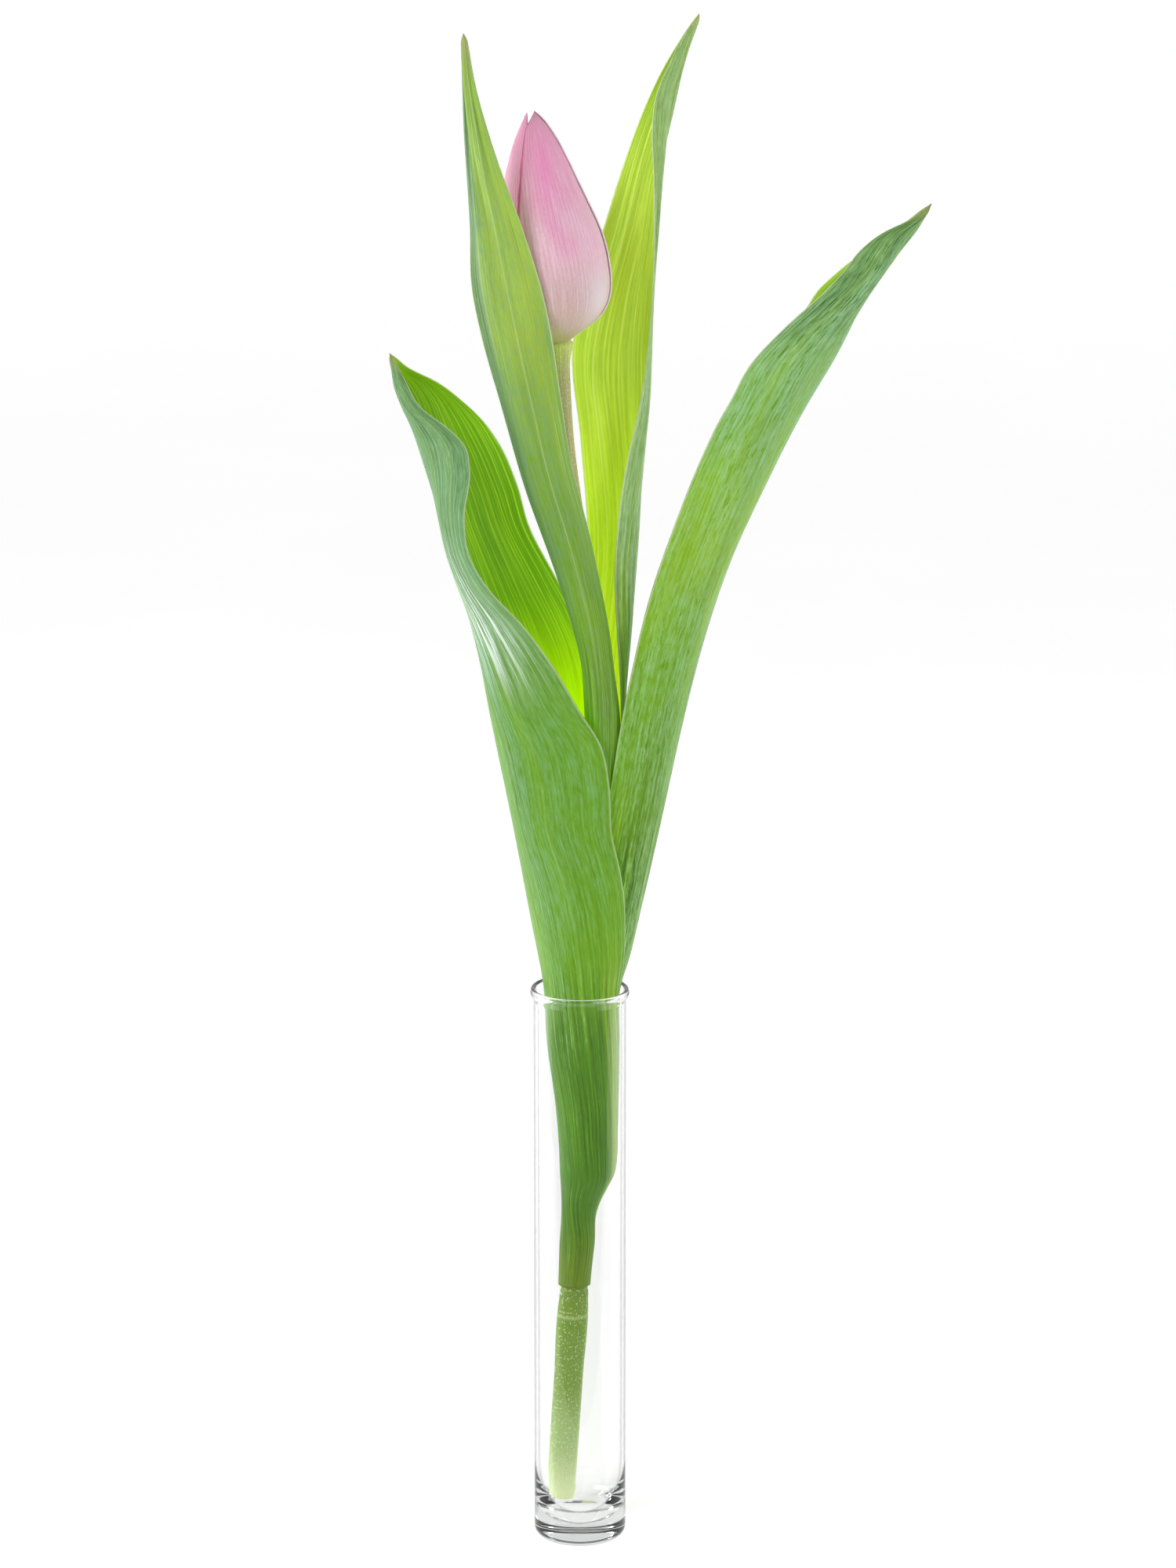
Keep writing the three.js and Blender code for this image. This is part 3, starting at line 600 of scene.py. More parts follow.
# How each leaf is coloured: its width and length in millimetres, where its midrib runs as a share
# # across, then colours and wax as stops along it from base (0) to tip (1). The bright inner colours
# # of leaf_1 and leaf_4 are partly painted light for daylight shining through, and leaf_1 carries a
# # painted satin highlight.
LEAF_FINISH = {
    "leaf_1": {
        "wide": 64, "long": 270, "midrib": 0.24, "rib_wide": 0.35, "rib_share": 0.20,
        "rib": (0.50, 0.68, 0.22), "speckle": 0.5, "painted_satin_highlight": 1.0,
        "outer": [(0.0, (0.14, 0.25, 0.003)), (0.1, (0.07, 0.22, 0.001)),
                  (0.25, (0.08, 0.24, 0.001)), (0.36, (0.15, 0.36, 0.006)),
                  (0.6, (0.14, 0.35, 0.01)), (1.0, (0.07, 0.175, 0.018))],
        "wax": [(0.0, -0.6), (0.22, -0.5), (0.36, 0.0), (0.6, 0.15), (0.8, 0.85), (1.0, 0.65)],
        "wax_side": (0.12, 0.40, 0.35), "bloom": (0.18, 0.36, 0.165),
        # The bright yellow-green of leaf_1's inner face is partly its own colour and partly painted
        # light for daylight shining through the blade.
        "inner": [(0.3, (0.52, 0.74, 0.001)), (0.6, (0.46, 0.70, 0.001)),
                  (0.75, (0.11, 0.29, 0.001)), (1.0, (0.11, 0.28, 0.002))],
        "inner_line": (0.40, 0.60, 0.01), "glow": [(0.24, 0.1), (0.4, 1.0), (0.7, 0.55)],
    },
    "leaf_2": {
        "wide": 36, "long": 285, "midrib": 0.55, "rib_wide": 0.8, "rib_share": 0.7,
        "rib": (0.42, 0.45, 0.47), "speckle": 1.0,
        "outer": [(0.3, (0.12, 0.29, 0.006)), (0.5, (0.18, 0.39, 0.008)),
                  (0.66, (0.26, 0.48, 0.01)), (0.82, (0.20, 0.42, 0.012)),
                  (0.9, (0.05, 0.17, 0.01)), (1.0, (0.08, 0.20, 0.02))],
        "wax": [(0.0, 0.1), (0.5, 0.2), (0.7, 0.35), (0.82, 0.6), (0.93, 0.6), (1.0, 0.3)],
        "wax_side": (0.18, 0.42, 0.2), "bloom": (0.25, 0.46, 0.21),
        "inner": [(0.0, (0.16, 0.36, 0.01)), (1.0, (0.26, 0.46, 0.01))],
        "inner_line": (0.42, 0.60, 0.05), "glow": [(0.0, 0.3), (1.0, 0.3)],
    },
    "leaf_3": {
        "wide": 20, "long": 265, "midrib": 0.54, "rib_wide": 0.3, "rib_share": 0.50,
        "rib": (0.60, 0.71, 0.28), "speckle": 0.8,
        "outer": [(0.1, (0.15, 0.33, 0.01)), (0.3, (0.18, 0.38, 0.008)),
                  (0.5, (0.21, 0.41, 0.01)), (0.75, (0.37, 0.55, 0.055)),
                  (0.95, (0.32, 0.51, 0.075)), (1.0, (0.33, 0.40, 0.09))],
        "wax": [(0.0, 0.2), (0.4, 0.35), (0.6, 0.4), (0.8, 0.3), (1.0, 0.2)],
        # leaf_3: wax and a dark bloom gather towards the margin at share 0. This is partly the leaf's
        # own bluish wax and partly painted shade, which tones down that side where the lamps light it
        # strongly.
        "wax_side": (0.40, 0.0, 1.0), "bloom": (0.15, 0.28, 0.12),
        "inner": [(0.0, (0.16, 0.36, 0.02)), (1.0, (0.30, 0.48, 0.04))],
        "inner_line": (0.42, 0.62, 0.12), "glow": [(0.0, 0.3), (1.0, 0.3)],
    },
    "leaf_4": {
        "wide": 24, "long": 238, "midrib": 0.78, "rib_wide": 0.4, "rib_share": 0.60,
        "rib": (0.72, 0.80, 0.20), "speckle": 0.2,
        "outer": [(0.0, (0.20, 0.36, 0.05)), (0.5, (0.20, 0.38, 0.05)),
                  (1.0, (0.22, 0.38, 0.07))],
        "wax": [(0.0, 0.8), (0.5, 0.75), (0.75, 0.5), (1.0, 0.2)],
        "wax_side": (0.0, 0.3, 0.2), "bloom": (0.33, 0.50, 0.24),
        # The bright yellow-green of leaf_4's inner face is partly its own colour and partly painted
        # light for daylight shining through the blade.
        "inner": [(0.0, (0.56, 0.74, 0.002)), (0.45, (0.47, 0.66, 0.015)),
                  (0.6, (0.38, 0.57, 0.025)), (0.85, (0.34, 0.52, 0.03)),
                  (1.0, (0.23, 0.38, 0.05))],
        "inner_line": (0.62, 0.74, 0.10), "glow": [(0.1, 0.6), (0.5, 0.32)],
    },
}

# Noise that each finish uses: how fast it changes across and along, a place of its own, detail
# and roughness
LEAF_GRAIN = {
    "mottle": (1.7, 0.26, 0, 4.0, 0.65), "streak": (1.3, 0.03, 5, 3.0, 0.6),
    "band": (0.22, 0.012, 2, 2.0, 0.5), "patch": (0.16, 0.035, 3, 3.0, 0.55),
    "dash": (2.2, 0.2, 9, 3.0, 0.65), "specks": (2.2, 1.6, 4, 1.0, 0.5),
    "fan": (0.9, 0.02, 11, 4.0, 0.75),
}
PETAL_GRAIN = {
    "cloud": (0.09, 0.05, 0, 2.0, 0.5), "silk": (2.6, 0.08, 3, 3.0, 0.6),
    "grain": (3.0, 0.7, 6, 2.0, 0.6),
}
STEM_GRAIN = {
    "streak": (9, 0.04, 0, 3.0, 0.6), "grain": (14, 0.7, 2, 3.0, 0.6), "dots": (9, 1.4, 4, 1.0, 0.5),
}
# Colours laid over each finish, among them the near-white of leaf_1's painted satin highlight, and
# stains that the leaf's own green is multiplied by
LEAF_TONES = {
    "sheath_line": (0.32, 0.52, 0.02), "painted_satin_highlight": (0.90, 0.98, 0.96), "speck": (0.55, 0.68, 0.40),
    "margin": (0.68, 0.78, 0.48), "tip": (0.40, 0.44, 0.12),
}
LEAF_STAINS = {
    "pale_streak": (1.9, 1.6, 1.0), "dark_streak": (0.45, 0.5, 0.4), "band": (1.35, 1.15, 0.5),
    "rubbed": (0.5, 0.72, 0.3), "hair": (0.65, 0.78, 0.5),
}
# Petal colours. "pale" is the whitish lilac of a painted highlight; the ground under the fan of veins
# is a lighter pink, partly painted light against the shade of the overlapping petal.
PETAL_TONES = {
    "claw": (0.50, 0.50, 0.12), "low": (0.56, 0.42, 0.38), "middle": (0.75, 0.52, 0.58),
    "top": (0.80, 0.35, 0.52), "flush": (0.72, 0.21, 0.43), "margin": (0.70, 0.24, 0.42),
    "vein": (0.60, 0.15, 0.32), "hair": (0.60, 0.27, 0.38), "silk": (0.88, 0.72, 0.79),
    "patch": (0.76, 0.23, 0.47), "pale": (0.80, 0.74, 0.82), "dark_rim": (0.42, 0.03, 0.15),
    "pale_rim": (0.92, 0.74, 0.82), "fan_ground_and_painted_light": (0.97, 0.47, 0.66), "fan": (0.60, 0.13, 0.34),
}


def leaf_finish(name, vein_gap):
    """Satin leaf. Green stops run up it; a blue-grey wax lies over the outer face, mottled in fine
    short dashes and rubbed off in patches. On leaf_1 a painted highlight of whitish streaks lies on
    the outer face about three quarters of the way up, towards the near margin, standing in for
    light glancing off the wax. The inner face is brighter, with pale lines along it; its bright
    green is partly its own colour and partly painted light for the daylight that a real leaf lets
    through, and it gives off a little light in place of that daylight. Fine veins, a pale midrib
    and thin pale margins run from base to tip."""
    look, tone, stain = LEAF_FINISH[name], LEAF_TONES, LEAF_STAINS
    paint = Paint(name + "_skin")
    share, run, side = paint.place()
    mottle, streak, band, patch, dash, specks, fan = paint.grains(
        share * look["wide"], run * look["long"], side * 7, LEAF_GRAIN)
    drift = band * 1.2
    veins = share * (look["wide"] * MM / vein_gap)
    vein = (veins + drift).lines(0.22)
    hair = (veins * 2.8 + drift * 2.5 + streak * 0.7).lines(0.5)
    line = (veins * 0.9 + drift + 0.3).lines(0.11)
    low, high, extra = look["wax_side"]
    wax = paint.profile(run, look["wax"]) + share.step(low, high) * extra
    wax = wax + (mottle - 0.5) * 1.9 + (streak - 0.5) * 1.2 + (patch - 0.5) * 1.2
    rubbed = dash.step(0.53, 0.62) * patch.step(0.42, 0.6) * look["speckle"]
    wax = (wax - rubbed * 0.7).clamp()
    outer = paint.mix(wax, paint.stops(run, look["outer"]), look["bloom"])
    outer = paint.tint(outer, 0.3 + streak * 0.8 + mottle * 0.6)
    lower = 1 - run.step(0.28, 0.42)
    outer = paint.mix(lower * share.near(0.08, 0.09) * 0.6, outer, tone["sheath_line"])
    outer = paint.stains(
        outer,
        (lower * streak.step(0.5, 0.7) * 0.5, stain["pale_streak"]),
        (lower * (1 - streak.step(0.3, 0.5)) * 0.6, stain["dark_streak"]),
        (band.step(0.42, 0.7) * 0.35, stain["band"]),
        (rubbed * 0.75, stain["rubbed"]),
        (hair * 0.25, stain["hair"]))
    # Painted highlight on leaf_1: near-white streaks about three quarters of the way up, towards the
    # near margin, standing in for light glancing off the wax.
    if "painted_satin_highlight" in look:
        painted_shine_mask = run.near(0.73, 0.11) * share.near(0.22, 0.24) * look["painted_satin_highlight"]
        outer = paint.mix(painted_shine_mask * (fan.step(0.47, 0.60) * 0.95 + 0.05), outer, tone["painted_satin_highlight"])
    inner = paint.tint(paint.stops(run, look["inner"]), 0.55 + streak * 0.7 + mottle * 0.2)
    inner = paint.mix(line * 0.45 + hair * streak.step(0.42, 0.65) * 0.35, inner, look["inner_line"])
    within = side.step(0.4, 0.6)
    rib = (share + (band - 0.5) * 0.02).near(look["midrib"], look["rib_wide"] / look["wide"])
    rim = share.near(0.0, 0.6 / look["wide"]) + share.near(1.0, 0.6 / look["wide"])
    colour = paint.coats(
        paint.mix(within, outer, inner),
        (rib * run.step(0.2, 0.5) * (look["rib_share"] * 0.7), look["rib"]),
        (specks.step(0.74, 0.8) * 0.35, tone["speck"]),
        (rim * 0.85, tone["margin"]),
        (run.near(1.0, 0.025) * 0.7, tone["tip"]))
    bump = hair * 0.6 + vein * 0.5 + mottle * 0.5 + streak * 1.2
    rough = 0.30 + mottle * 0.12 + streak * 0.12 + rubbed * 0.06
    return paint.skin(colour, rough, bump, 0.1, {
        "Subsurface Weight": 0.2, "Subsurface Radius": (0.6, 1.0, 0.25),
        "Subsurface Scale": MM, "Specular IOR Level": 0.38, "Emission Strength": 1.0,
        "Emission Color": paint.tint(inner, within * paint.profile(run, look["glow"]))})


def petal_finish(name, pink, cream, seed, seam):
    """Silky petal: cream at the base, pink above, deeper at the top and along the margins. Fine
    veins leave the base and bend out to the margins. Where seam is 1 the petal has a dark margin,
    a flushed patch and a painted highlight, a pale whitish-lilac patch low on it; where it is 0
    it has a pale margin and a fan of veins on a lighter pink ground, which is partly painted light
    that lifts the shade the overlapping petal casts there."""
    paint = Paint(name)
    across, run, side = paint.place()
    wide, tall = PETAL_SIZE
    cloud, silk, grain = paint.grains(across * wide, run * tall, side * 5 + seed, PETAL_GRAIN)
    bent = across * (1.15 - run * 0.7)
    vein = (bent * 17 + cloud * 1.5).lines(0.3)
    hair = (bent * 51 + cloud * 2.0 + silk * 0.6).lines(0.5)
    edge = across.math("ABSOLUTE").step(0.55, 1.0)
    rim = (across * -1).step(0.90, 0.96)
    flush = (cloud * 0.7 + run * 0.5).step(0.55, 0.85) * (1 - run.step(0.86, 1.0))
    fan = ((across + run * 0.9) * 14 + cloud).lines(0.4) * across.step(0.3, 0.7)
    tone = PETAL_TONES
    colour = paint.stops(run + (cloud - 0.5) * 0.25, [
        (0.04, tone["claw"]), (0.13, tuple3(cream)), (0.30, tone["low"]),
        (0.52, tone["middle"]), (0.72, tuple3(pink)), (0.92, tone["top"])])
    colour = paint.coats(
        colour,
        (flush * 0.5, tone["flush"]),
        (edge * run.step(0.25, 0.6) * 0.35, tone["margin"]),
        (vein * (edge * 0.3 + 0.32) * run.step(0.1, 0.5), tone["vein"]),
        (hair * 0.38, tone["hair"]),
        (silk.step(0.45, 0.75) * 0.4, tone["silk"]))
    colour = paint.coats(
        paint.tint(colour, 0.82 + grain * 0.36),
        (across.near(-0.28, 0.36) * run.near(0.78, 0.15) * (0.6 * seam), tone["patch"]),
        # Painted highlight: a pale whitish-lilac patch low on the petal with the seam.
        (across.near(0.35, 0.5) * run.near(0.27, 0.2) * (0.5 * seam), tone["pale"]),
        (rim * run.step(0.2, 0.5) * (0.95 * seam), tone["dark_rim"]),
        (rim * (0.8 * (1 - seam)), tone["pale_rim"]),
        # A lighter pink ground towards the overlapped margin: partly the petal's own pink and partly
        # painted light that lifts the shade cast by the overlapping petal.
        (across.step(0.3, 0.8) * run.step(0.4, 0.6) * (0.75 * (1 - seam)), tone["fan_ground_and_painted_light"]),
        (fan * run.step(0.3, 0.6) * (0.7 * (1 - seam)), tone["fan"]))
    bump = vein * 0.5 + hair * 0.4 + silk * 0.7 + grain * 0.2
    return paint.skin(colour, 0.46 + silk * 0.2, bump, 0.08, {
        "Subsurface Weight": 0.3, "Subsurface Radius": (1.0, 0.45, 0.55),
        "Subsurface Scale": 1.2 * MM, "Sheen Weight": 0.15, "Sheen Roughness": 0.4,
        "Specular IOR Level": 0.4})


def stem_finish():
    """Round stem: pale yellow-green at the cut, mid-green in the tube, olive-brown under the bud,
    with fine lengthwise ridges, a dark and a pale ring at the node and small pale specks."""
    paint = Paint("stem_skin")
    turn, height, cap = paint.place()
    streak, grain, dots = paint.grains(turn, height, 0.0, STEM_GRAIN)
    colour = paint.stops(height + streak * 24, [
        (22, (0.70, 0.81, 0.42)), (42, (0.34, 0.49, 0.15)), (60, (0.19, 0.32, 0.04)),
        (92, (0.15, 0.27, 0.01)), (240, (0.22, 0.34, 0.06)), (290, (0.38, 0.34, 0.13)),
        (345, (0.42, 0.39, 0.17)), (358, (0.52, 0.60, 0.13))])
    colour = paint.coats(
        paint.tint(colour, 0.35 + streak * 0.8 + grain * 0.5),
        (height.near(NODE_HEIGHT, 1.6) * 0.4, (0.13, 0.22, 0.05)),
        ((height + streak * 3).near(NODE_HEIGHT - 5, 0.9) * 0.5, (0.50, 0.64, 0.30)),
        (dots.step(0.58, 0.68) * 0.6, (0.62, 0.74, 0.48)),
        (cap, (0.60, 0.70, 0.42)))
    return paint.skin(colour, 0.38 + streak * 0.2, streak + grain * 0.5 + dots * 0.4, 0.1, {
        "Subsurface Weight": 0.2, "Subsurface Radius": (0.8, 1.0, 0.4),
        "Subsurface Scale": 1.5 * MM, "Specular IOR Level": 0.35})


def glass_finish(tint):
    """Clear glass, grey where it is thick. Where it is seen edge on its colour turns grey too, a
    painted shade standing in for the dark lines at the wall's edges.
    """
    paint = Paint("clear_glass")
    facing = paint.wire("ShaderNodeLayerWeight", "Facing", inputs={"Blend": 0.5})
    # Painted shade: the glass colour turns grey where it is seen edge on.
    clear = paint.mix(facing.step(0.62, 0.82), (1.0, 1.0, 1.0), (0.30, 0.30, 0.31))
    skin = paint.wire("ShaderNodeBsdfPrincipled", inputs={
        "Base Color": clear, "Roughness": 0.0, "IOR": 1.5, "Transmission Weight": 1.0})
    depth = paint.wire("ShaderNodeVolumeAbsorption", inputs={"Color": tint, "Density": 40.0})
    paint.tree.links.new(skin.socket, paint.output.inputs["Surface"])
    paint.tree.links.new(depth.socket, paint.output.inputs["Volume"])
    return paint.material


def heart_finish(name, low, high, grain):
    """Soft matte finish of the pieces inside the bud, mottled between two colours."""
    paint = Paint(name)
    turn, height, _ = paint.place()
    mottle, = paint.grains(turn, height, 0.0, {"mottle": (9, grain, 0, 3.0, 0.6)})
    colour = paint.mix(mottle.step(0.35, 0.65), low, high)
    return paint.skin(colour, 0.6 + mottle * 0.2, mottle, 0.1, {"Sheen Weight": 0.2})


# Operators


class TULIP_OT_tube(bpy.types.Operator):
    """Turns the glass tube: foot, wall, flared lip, bore and rounded floor, as one closed body"""

    bl_idname = "tulip.make_tube"
    bl_label = "Glass tube"

    def execute(self, context):
        size = context.scene.tulip.tube
        sides, unevenness, lip_depth, lip_dip = 160, 0.0016, 3.5, 0.25
        angle = round_angles(sides)
        radius, height = np.hsplit(tube_outline(size), 2)
        radius = radius * (1 + unevenness * np.sin(3 * angle + 0.7))
        lip = smooth(height, size.height / MM - lip_depth, size.height / MM)
        dip = lip * lip_dip * (np.sin(angle - 0.5) - 1)
        rings = stacked(radius * np.cos(angle), radius * np.sin(angle), height + dip)
        piece = build("glass_tube", rings, None, "vase", glass_finish(size.tint))
        piece.visible_shadow = piece.visible_diffuse = False
        return {"FINISHED"}


def tube_outline(size):
    """Radius and height of the glass from the middle of the foot round the outside, over the lip
    and down the bore. The underside is a little hollow, the lip flares as a thin wall with a fine
    bead and a round edge, and the bore ends in a deep superellipse of power 2.6."""
    out, height, wall = size.radius / MM, size.height / MM, size.wall / MM
    inner, floor, bowl, flare = out - wall, size.floor / MM, size.bowl / MM, size.flare / MM
    hollow, corner, shoulder, edge_rise, bead, power = 0.25, 3.0, 4.2, 0.6, 0.4, 2.6
    reach = np.linspace(0.2, out - corner - edge_rise, 24)
    under = stacked(reach, hollow * (1 - (reach / reach[-1])**2))
    quarter = np.linspace(0, np.pi / 2, 13)
    heel = stacked(out - corner + corner * np.sin(quarter), corner - corner * np.cos(quarter))
    side = stacked(out, np.linspace(corner + edge_rise, height - shoulder, 40))
    rise = np.linspace(0, 1, 12)
    lip = stacked(out + flare * smooth(rise, 0, 1),
                  height - edge_rise - (shoulder - 1) * (1 - rise))
    edge = np.linspace(0, np.pi, 11)[1:-1]
    top = stacked(out + flare - wall / 2 * (1 - np.cos(edge)),
                  height - edge_rise + edge_rise * np.sin(edge))
    beaded = lip + stacked(bead * np.sin(np.pi * rise), 0.0)
    bore = stacked(inner, np.linspace(height - shoulder, floor + bowl + 0.4, 40))
    drop = np.sin(np.linspace(0, np.pi / 2, 40)[:-1])
    bottom = stacked(inner * (1 - drop**power)**(1 / power), floor + bowl - bowl * drop)
    return np.concatenate([under, heel, side, beaded, top, lip[::-1] - [wall, 0], bore, bottom])


class TULIP_OT_stem(bpy.types.Operator):
    """Lofts the stem along its bowed line, with its slanted cut, leaf node and flower seat"""

    bl_idname = "tulip.make_stem"
    bl_label = "Stem"

    def execute(self, context):
        sides, rows, rim, bevel, cut_reach = 72, 330, 0.25, 0.12, 14
        low, top = STEM[0][0], STEM[-1][0]
        height = np.concatenate([low + rim * (1 - np.cos(np.linspace(0, np.pi / 2, 4))),
                                 np.linspace(low + 1, top, rows)])
        x, y, radius = along(STEM, height).T
        angle = round_angles(sides)
        swell = 0.25 * hump(height, NODE_HEIGHT, 1.3) + 0.12 * hump(height, NODE_HEIGHT + 3.5, 0.8)
        flare = 1.25 * smooth(height, top - 9, top + 0.5)**2
        body = radius - bevel * (1 - smooth(height, low, low + 0.3)) + swell + flare
        ridge = 0.035 * np.sin(11 * angle[None, :] + 0.02 * height[:, None])
        knob = 0.35 * hump(height, low + 3, 1.2)[:, None] * smooth(np.cos(angle), 0.7, 1)[None, :]
        reach = body[:, None] + ridge + knob
        slant = -CUT_SLANT * (1 - smooth(height, low, low + cut_reach))[:, None]
        rings = stacked(x[:, None] + reach * np.cos(angle), y[:, None] + reach * np.sin(angle),
                        height[:, None] + slant * reach * np.cos(angle))
        rings = np.concatenate([rings, *([seat_ring(rise, wide, angle)] for rise, wide in SEAT)])
        heights = np.concatenate([height, [top + rise for rise, _ in SEAT]])
        cap = np.zeros((len(heights), 1))
        cap[0] = 1
        marks = stacked(np.cos(angle) + 0.3 * np.sin(angle), heights[:, None], cap)
        build("flower_stem", rings, marks, "stem", stem_finish())
        return {"FINISHED"}


def seat_ring(rise, radius, angle):
    """Ring of the flower's seat, tilted with the bud."""
    x = BUD_BASE[0] + rise * BUD_LEAN + radius * np.cos(angle)
    z = BUD_BASE[2] + rise - BUD_LEAN * radius * np.cos(angle)
    return stacked(x, radius * np.sin(angle), z)


class TULIP_OT_leaves(bpy.types.Operator):
    """Lofts the four leaves from their margins and fold, with ribs, ripples and rounded margins"""

    bl_idname = "tulip.make_leaves"
    bl_label = "Leaves"

    def execute(self, context):
        size = context.scene.tulip.leaf
        for name, leaf in LEAVES.items():
            columns = 128 if name == "leaf_1" else 72
            rings, marks = leaf_rings(leaf, columns, 240, size, LEAF_FINISH[name])
            build(name + "_blade", rings, marks, name, leaf_finish(name, size.vein_gap))
        return {"FINISHED"}


def leaf_rings(leaf, columns, rows, size, look):
    """Rings round a leaf's sheet, and their marks. The sheet is raised by long ripples and low
    ribs that die out towards base and margins, and its thickness falls from the fold to rounded
    margins."""
    rib_height, midrib_height, margin_radius = 0.045, 0.22, 0.35
    low, high, wide = leaf["near"][0][0], leaf["near"][-1][0], look["wide"]
    run, share = crowded(rows, 0.35), crowded(columns, 0.45)
    points = leaf_sheet(leaf, low + (high - low) * run, share)
    s, r = share[None, :], run[:, None]
    free = smooth(r, 0.32, 0.6) * smooth(s, 0, 0.12) * smooth(1 - s, 0, 0.12) * smooth(1 - r, 0, 0.1)
    ripple = np.sin(2 * np.pi * (2.3 * s + 0.8 * np.sin(2 * np.pi * 0.9 * r + 1.0) + 0.4 * r))
    ripple = ripple + 0.5 * np.sin(2 * np.pi * (4.1 * s - 1.3 * r + 0.2))
    ribs = np.cos(2 * np.pi * s * wide * MM / size.vein_gap) * smooth(r, 0.05, 0.3)
    midrib = hump(s * wide, look["midrib"] * wide, 0.9) * smooth(r, 0.1, 0.3) * (1 - r)
    lift = size.ripple / MM * free * ripple + rib_height * ribs + midrib_height * midrib
    points = points + sheet_normals(points) * (lift * outward(points))[..., None]
    edge, width = edge_distance(points, share)
    body = 0.5 + 0.5 * smooth(edge / np.maximum(width, 1) * 2, 0.05, 0.9)
    half = 0.5 * size.thickness / MM * body * rounded(edge, margin_radius)
    points, still = closed_tip(points, r, 0.988, 0.15)
    return shell_rings(points, half * still * outward(points), share, run)


def in_bud(points):
    """Points of the bud's own frame, leaned about Y and set on the stem."""
    c, s = math.cos(BUD_LEAN), math.sin(BUD_LEAN)
    x, y, z = points[..., 0], points[..., 1], points[..., 2]
    return stacked(x * c + z * s, y, z * c - x * s) + BUD_BASE


class TULIP_OT_petals(bpy.types.Operator):
    """Wraps three outer and three inner petals round the bud, each tucked under its neighbour"""

    bl_idname = "tulip.make_petals"
    bl_label = "Petals"

    def execute(self, context):
        size = context.scene.tulip.bud
        for layer, outline, first in (("outer", OUTER_OUTLINE, -58), ("inner", INNER_OUTLINE, 2)):
            for number in range(3):
                seed = number + 3 * (layer == "inner")
                rings, marks = petal_rings(outline, first + 120 * number, size, seed)
                name = f"petal_{layer}_{number + 1}"
                finish = petal_finish(name, size.pink, size.cream, 2.7 * number + 1,
                                      seam=float(number == 0))
                build(name + "_skin", in_bud(rings), marks, name, finish)
        return {"FINISHED"}


def petal_rings(outline, azimuth, size, seed):
    """Rings round a petal's sheet, and their marks, with a low keel, fine ripples and a thin,
    softly waved margin."""
    keel_height, wave_height, margin_radius = 0.12, 0.05, 0.5
    run, share = crowded(96, 0.4), crowded(56, 0.5)
    across = 2 * share - 1
    points = petal_sheet(outline, azimuth, run, across)
    r, a = run[:, None], across[None, :]
    keel = hump(a, 0, 0.07) * smooth(r, 0.15, 0.4) * (1 - smooth(r, 0.85, 1))
    wave = np.sin(5.0 * a + 7 * r + seed) * smooth(r, 0.2, 0.5) * (1 - smooth(r, 0.8, 1))
    points = points + sheet_normals(points) * (keel_height * keel - wave_height * wave)[..., None]
    edge, _ = edge_distance(points, share)
    half = 0.5 * size.thickness / MM * rounded(edge, margin_radius)
    points, still = closed_tip(points, r, 0.965, 0.2)
    return shell_rings(points, half * still, across, run)


class TULIP_OT_heart(bpy.types.Operator):
    """Makes the seed vessel and the six stamens that stand inside the closed bud"""

    bl_idname = "tulip.make_heart"
    bl_label = "Pistil and stamens"

    def execute(self, context):
        angle = round_angles(60)
        height = np.linspace(PISTIL_OUTLINE[0][0], PISTIL_OUTLINE[-1][0], 60)[:, None]
        radius, lobe = np.hsplit(along(PISTIL_OUTLINE, height), 2)
        reach = radius * (1 + lobe * np.cos(3 * angle))
        rings = stacked(reach * np.cos(angle), reach * np.sin(angle), height)
        build("seed_vessel", in_bud(rings), stacked(np.cos(angle), height, 0.0), "pistil",
              heart_finish("seed_vessel", (0.40, 0.50, 0.18), (0.58, 0.66, 0.30), 0.2))
        pollen = heart_finish("stamen_skin", (0.05, 0.035, 0.07), (0.12, 0.08, 0.14), 1.5)
        angle = round_angles(24)
        height = np.linspace(STAMEN_PATH[0][0], STAMEN_PATH[-1][0], 48)[:, None]
        out, radius = np.hsplit(along(STAMEN_PATH, height), 2)
        reach = radius * (1 - 0.16 * np.cos(4 * angle) * smooth(height, 9.4, 11))
        u, v = out + reach * np.cos(angle), reach * np.sin(angle)
        for number in range(6):
            turn = math.radians(60 * number + 30)
            c, s = math.cos(turn), math.sin(turn)
            rings = stacked(u * c - v * s, u * s + v * c, height)
            name = f"stamen_{number + 1}"
            build(name + "_skin", in_bud(rings), stacked(np.cos(angle), height, 0.0), name,
                  pollen)
        return {"FINISHED"}


class TULIP_OT_stage(bpy.types.Operator):
    """Lays the pale floor and sets the soft white light and the camera"""

    bl_idname = "tulip.make_stage"
    bl_label = "Stage"

    def execute(self, context):
        size = context.scene.tulip.stage
        make_floor(size.floor)
        make_cards()
        make_world(size.sky)
        for name, at, aim, wide, high, power in (
                ("key_lamp", (-0.95, -1.1, 1.15), 0.26, 0.7, 0.7, size.key),
                ("fill_lamp", (1.1, -1.0, 0.9), 0.26, 0.8, 0.8, size.key * 0.5),
                ("left_lamp", (-1.05, 0.3, 0.42), 0.26, 0.2, 0.7, size.back),
                ("right_lamp", (1.05, 0.5, 0.4), 0.25, 0.25, 0.8, size.back * 0.6)):
            make_lamp(name, Vector(at), Vector((0.0, 0.0, aim)), wide, high, power)
        make_camera()
        context.scene.view_settings.view_transform = "Standard"
        return {"FINISHED"}


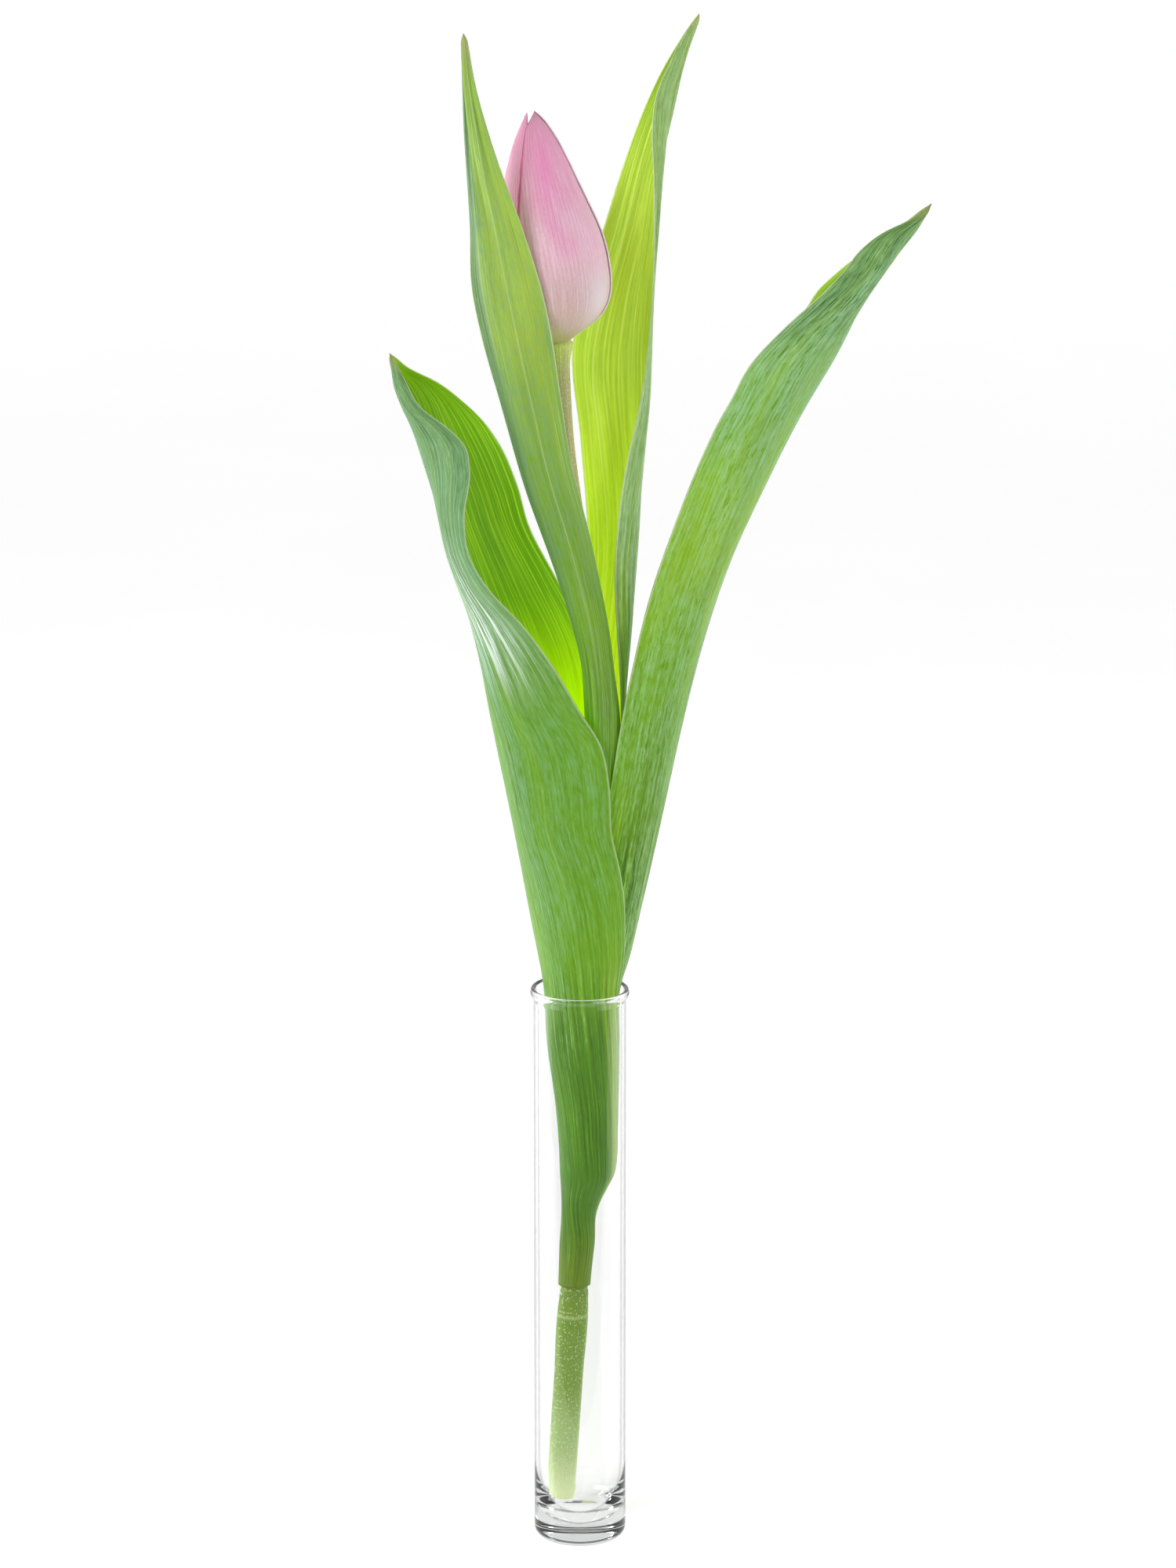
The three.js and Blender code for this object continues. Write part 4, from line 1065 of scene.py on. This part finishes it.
def make_floor(white):
    """A wide disc: rings of growing radius round the origin. It glows more the farther it lies
    from the tube, so that the background stays as white as the floor near the lamps; near the
    tube it hardly glows, which leaves a painted shade round the tube's foot."""
    sides, radii = 96, [0.05, 0.2, 0.6, 1.5, 4.0, 9.0]
    angle, radius = round_angles(sides), np.array(radii)[:, None]
    rings = stacked(radius * np.cos(angle), radius * np.sin(angle), 0.0)
    quads = ring_faces(len(radii), sides)[:, ::-1]
    floor = place_mesh("floor", rings.reshape(-1, 3), [*quads.tolist(), list(range(sides))])
    paint = Paint("floor_white")
    place = paint.wire("ShaderNodeTexCoord", "Object")
    grain = paint.noise(place, 2.0, 0.5, 8.0)
    colour = paint.mix(grain.step(0.3, 0.7), tuple3(white, 0.985), tuple3(white))
    away = paint.wire("ShaderNodeVectorMath", "Value", {"operation": "LENGTH"}, {0: place})
    # Painted glow and shade: the floor gives off light that grows with distance from the tube, so it
    # is darker round the foot.
    far = paint.mix(((away - 0.2) * 0.4).clamp(0.015) ** 0.5, (0.0, 0.0, 0.0), (1.0, 1.0, 1.0))
    floor.data.materials.append(paint.skin(colour, 0.7 + grain * 0.1, grain, 0.02, {
        "Emission Color": far, "Emission Strength": 0.42}))


def make_cards():
    """Two dark cards laid before the tube, hidden from the camera, so that reflections leave the
    glass clear. The near one is seen in reflections only. The far one is also seen by light that
    has passed through glass, so from behind it shows through the tube as a dark patch."""
    half, lift = 0.7, 0.001
    for name, near, far in (("near_card", -0.03, -0.11), ("far_card", -0.11, -1.7)):
        corners = [(-half, far, lift), (half, far, lift), (half, near, lift), (-half, near, lift)]
        card = place_mesh(name, corners, [(0, 1, 2, 3)])
        for ray in ("camera", "diffuse", "volume_scatter", "shadow"):
            setattr(card, "visible_" + ray, False)
        card.visible_transmission = name == "far_card"
        paint = Paint(name + "_black")
        nap = paint.noise(paint.wire("ShaderNodeTexCoord", "Object"), 2.0, 0.5, 900.0)
        colour = paint.mix(nap, tuple3((1, 1, 1), 0.02), tuple3((1, 1, 1), 0.04))
        card.data.materials.append(paint.skin(colour, 0.9 + nap * 0.05, nap, 0.1, {}))


def make_world(sky):
    """White surround, dimmer on the viewer's side, where the dark of the room would be."""
    world = bpy.data.worlds.new("studio")
    bpy.context.scene.world = world
    world.use_nodes = True
    tree = world.node_tree
    where = tree.nodes.new("ShaderNodeTexCoord")
    split = tree.nodes.new("ShaderNodeSeparateXYZ")
    level = tree.nodes.new("ShaderNodeMapRange")
    level.interpolation_type = "SMOOTHSTEP"
    for name, value in (("From Min", -0.5), ("From Max", 0.5), ("To Min", sky * 0.2), ("To Max", sky)):
        level.inputs[name].default_value = value
    ground = tree.nodes["Background"]
    ground.inputs["Color"].default_value = (1.0, 1.0, 1.0, 1)
    tree.links.new(where.outputs["Generated"], split.inputs[0])
    tree.links.new(split.outputs["Y"], level.inputs["Value"])
    tree.links.new(level.outputs["Result"], ground.inputs["Strength"])


def make_lamp(name, at, aim, wide, high, power):
    light = bpy.data.lights.new(name, "AREA")
    light.shape = "RECTANGLE"
    light.size, light.size_y, light.energy = wide, high, power
    lamp = bpy.data.objects.new(name, light)
    lamp.location = at
    lamp.rotation_euler = (aim - at).to_track_quat("-Z", "Y").to_euler()
    bpy.context.scene.collection.objects.link(lamp)


def make_camera():
    """Camera 1.6 m away, looking 13.43 degrees down on the tube, as in the photograph."""
    lens = bpy.data.cameras.new("camera")
    lens.sensor_fit, lens.sensor_width, lens.lens = "AUTO", 36, 136.4
    lens.clip_start, lens.clip_end = 0.05, 30
    camera = bpy.data.objects.new("camera", lens)
    camera.location = (0.0023, -1.6028, 0.6029)
    camera.rotation_euler = (math.radians(90 - 13.43), 0, 0)
    bpy.context.scene.collection.objects.link(camera)
    bpy.context.scene.camera = camera


class TULIP_PT_panel(bpy.types.Panel):
    """Lists the tulip's sizes, colours and steps in the sidebar"""

    bl_label = "Tulip in a tube"
    bl_idname = "TULIP_PT_panel"
    bl_space_type = "VIEW_3D"
    bl_region_type = "UI"
    bl_category = "Tulip"

    def draw(self, context):
        groups = context.scene.tulip
        for name in ("tube", "leaf", "bud", "stage"):
            group = getattr(groups, name)
            box = self.layout.box()
            for key in group.bl_rna.properties.keys():
                if key not in {"rna_type", "name"}:
                    box.prop(group, key)
        for step in STEPS:
            self.layout.operator(step.bl_idname)


GROUPS = (TubeSettings, LeafSettings, BudSettings, StageSettings, TulipSettings)
STEPS = (TULIP_OT_tube, TULIP_OT_stem, TULIP_OT_leaves, TULIP_OT_petals, TULIP_OT_heart,
         TULIP_OT_stage)


def register():
    for each in (*GROUPS, *STEPS, TULIP_PT_panel):
        bpy.utils.register_class(each)
    bpy.types.Scene.tulip = bpy.props.PointerProperty(type=TulipSettings)


def unregister():
    del bpy.types.Scene.tulip
    for each in reversed((*GROUPS, *STEPS, TULIP_PT_panel)):
        bpy.utils.unregister_class(each)


def main():
    register()
    for step in STEPS:
        getattr(bpy.ops.tulip, step.bl_idname.split(".")[1])()


if __name__ == "__main__":
    main()
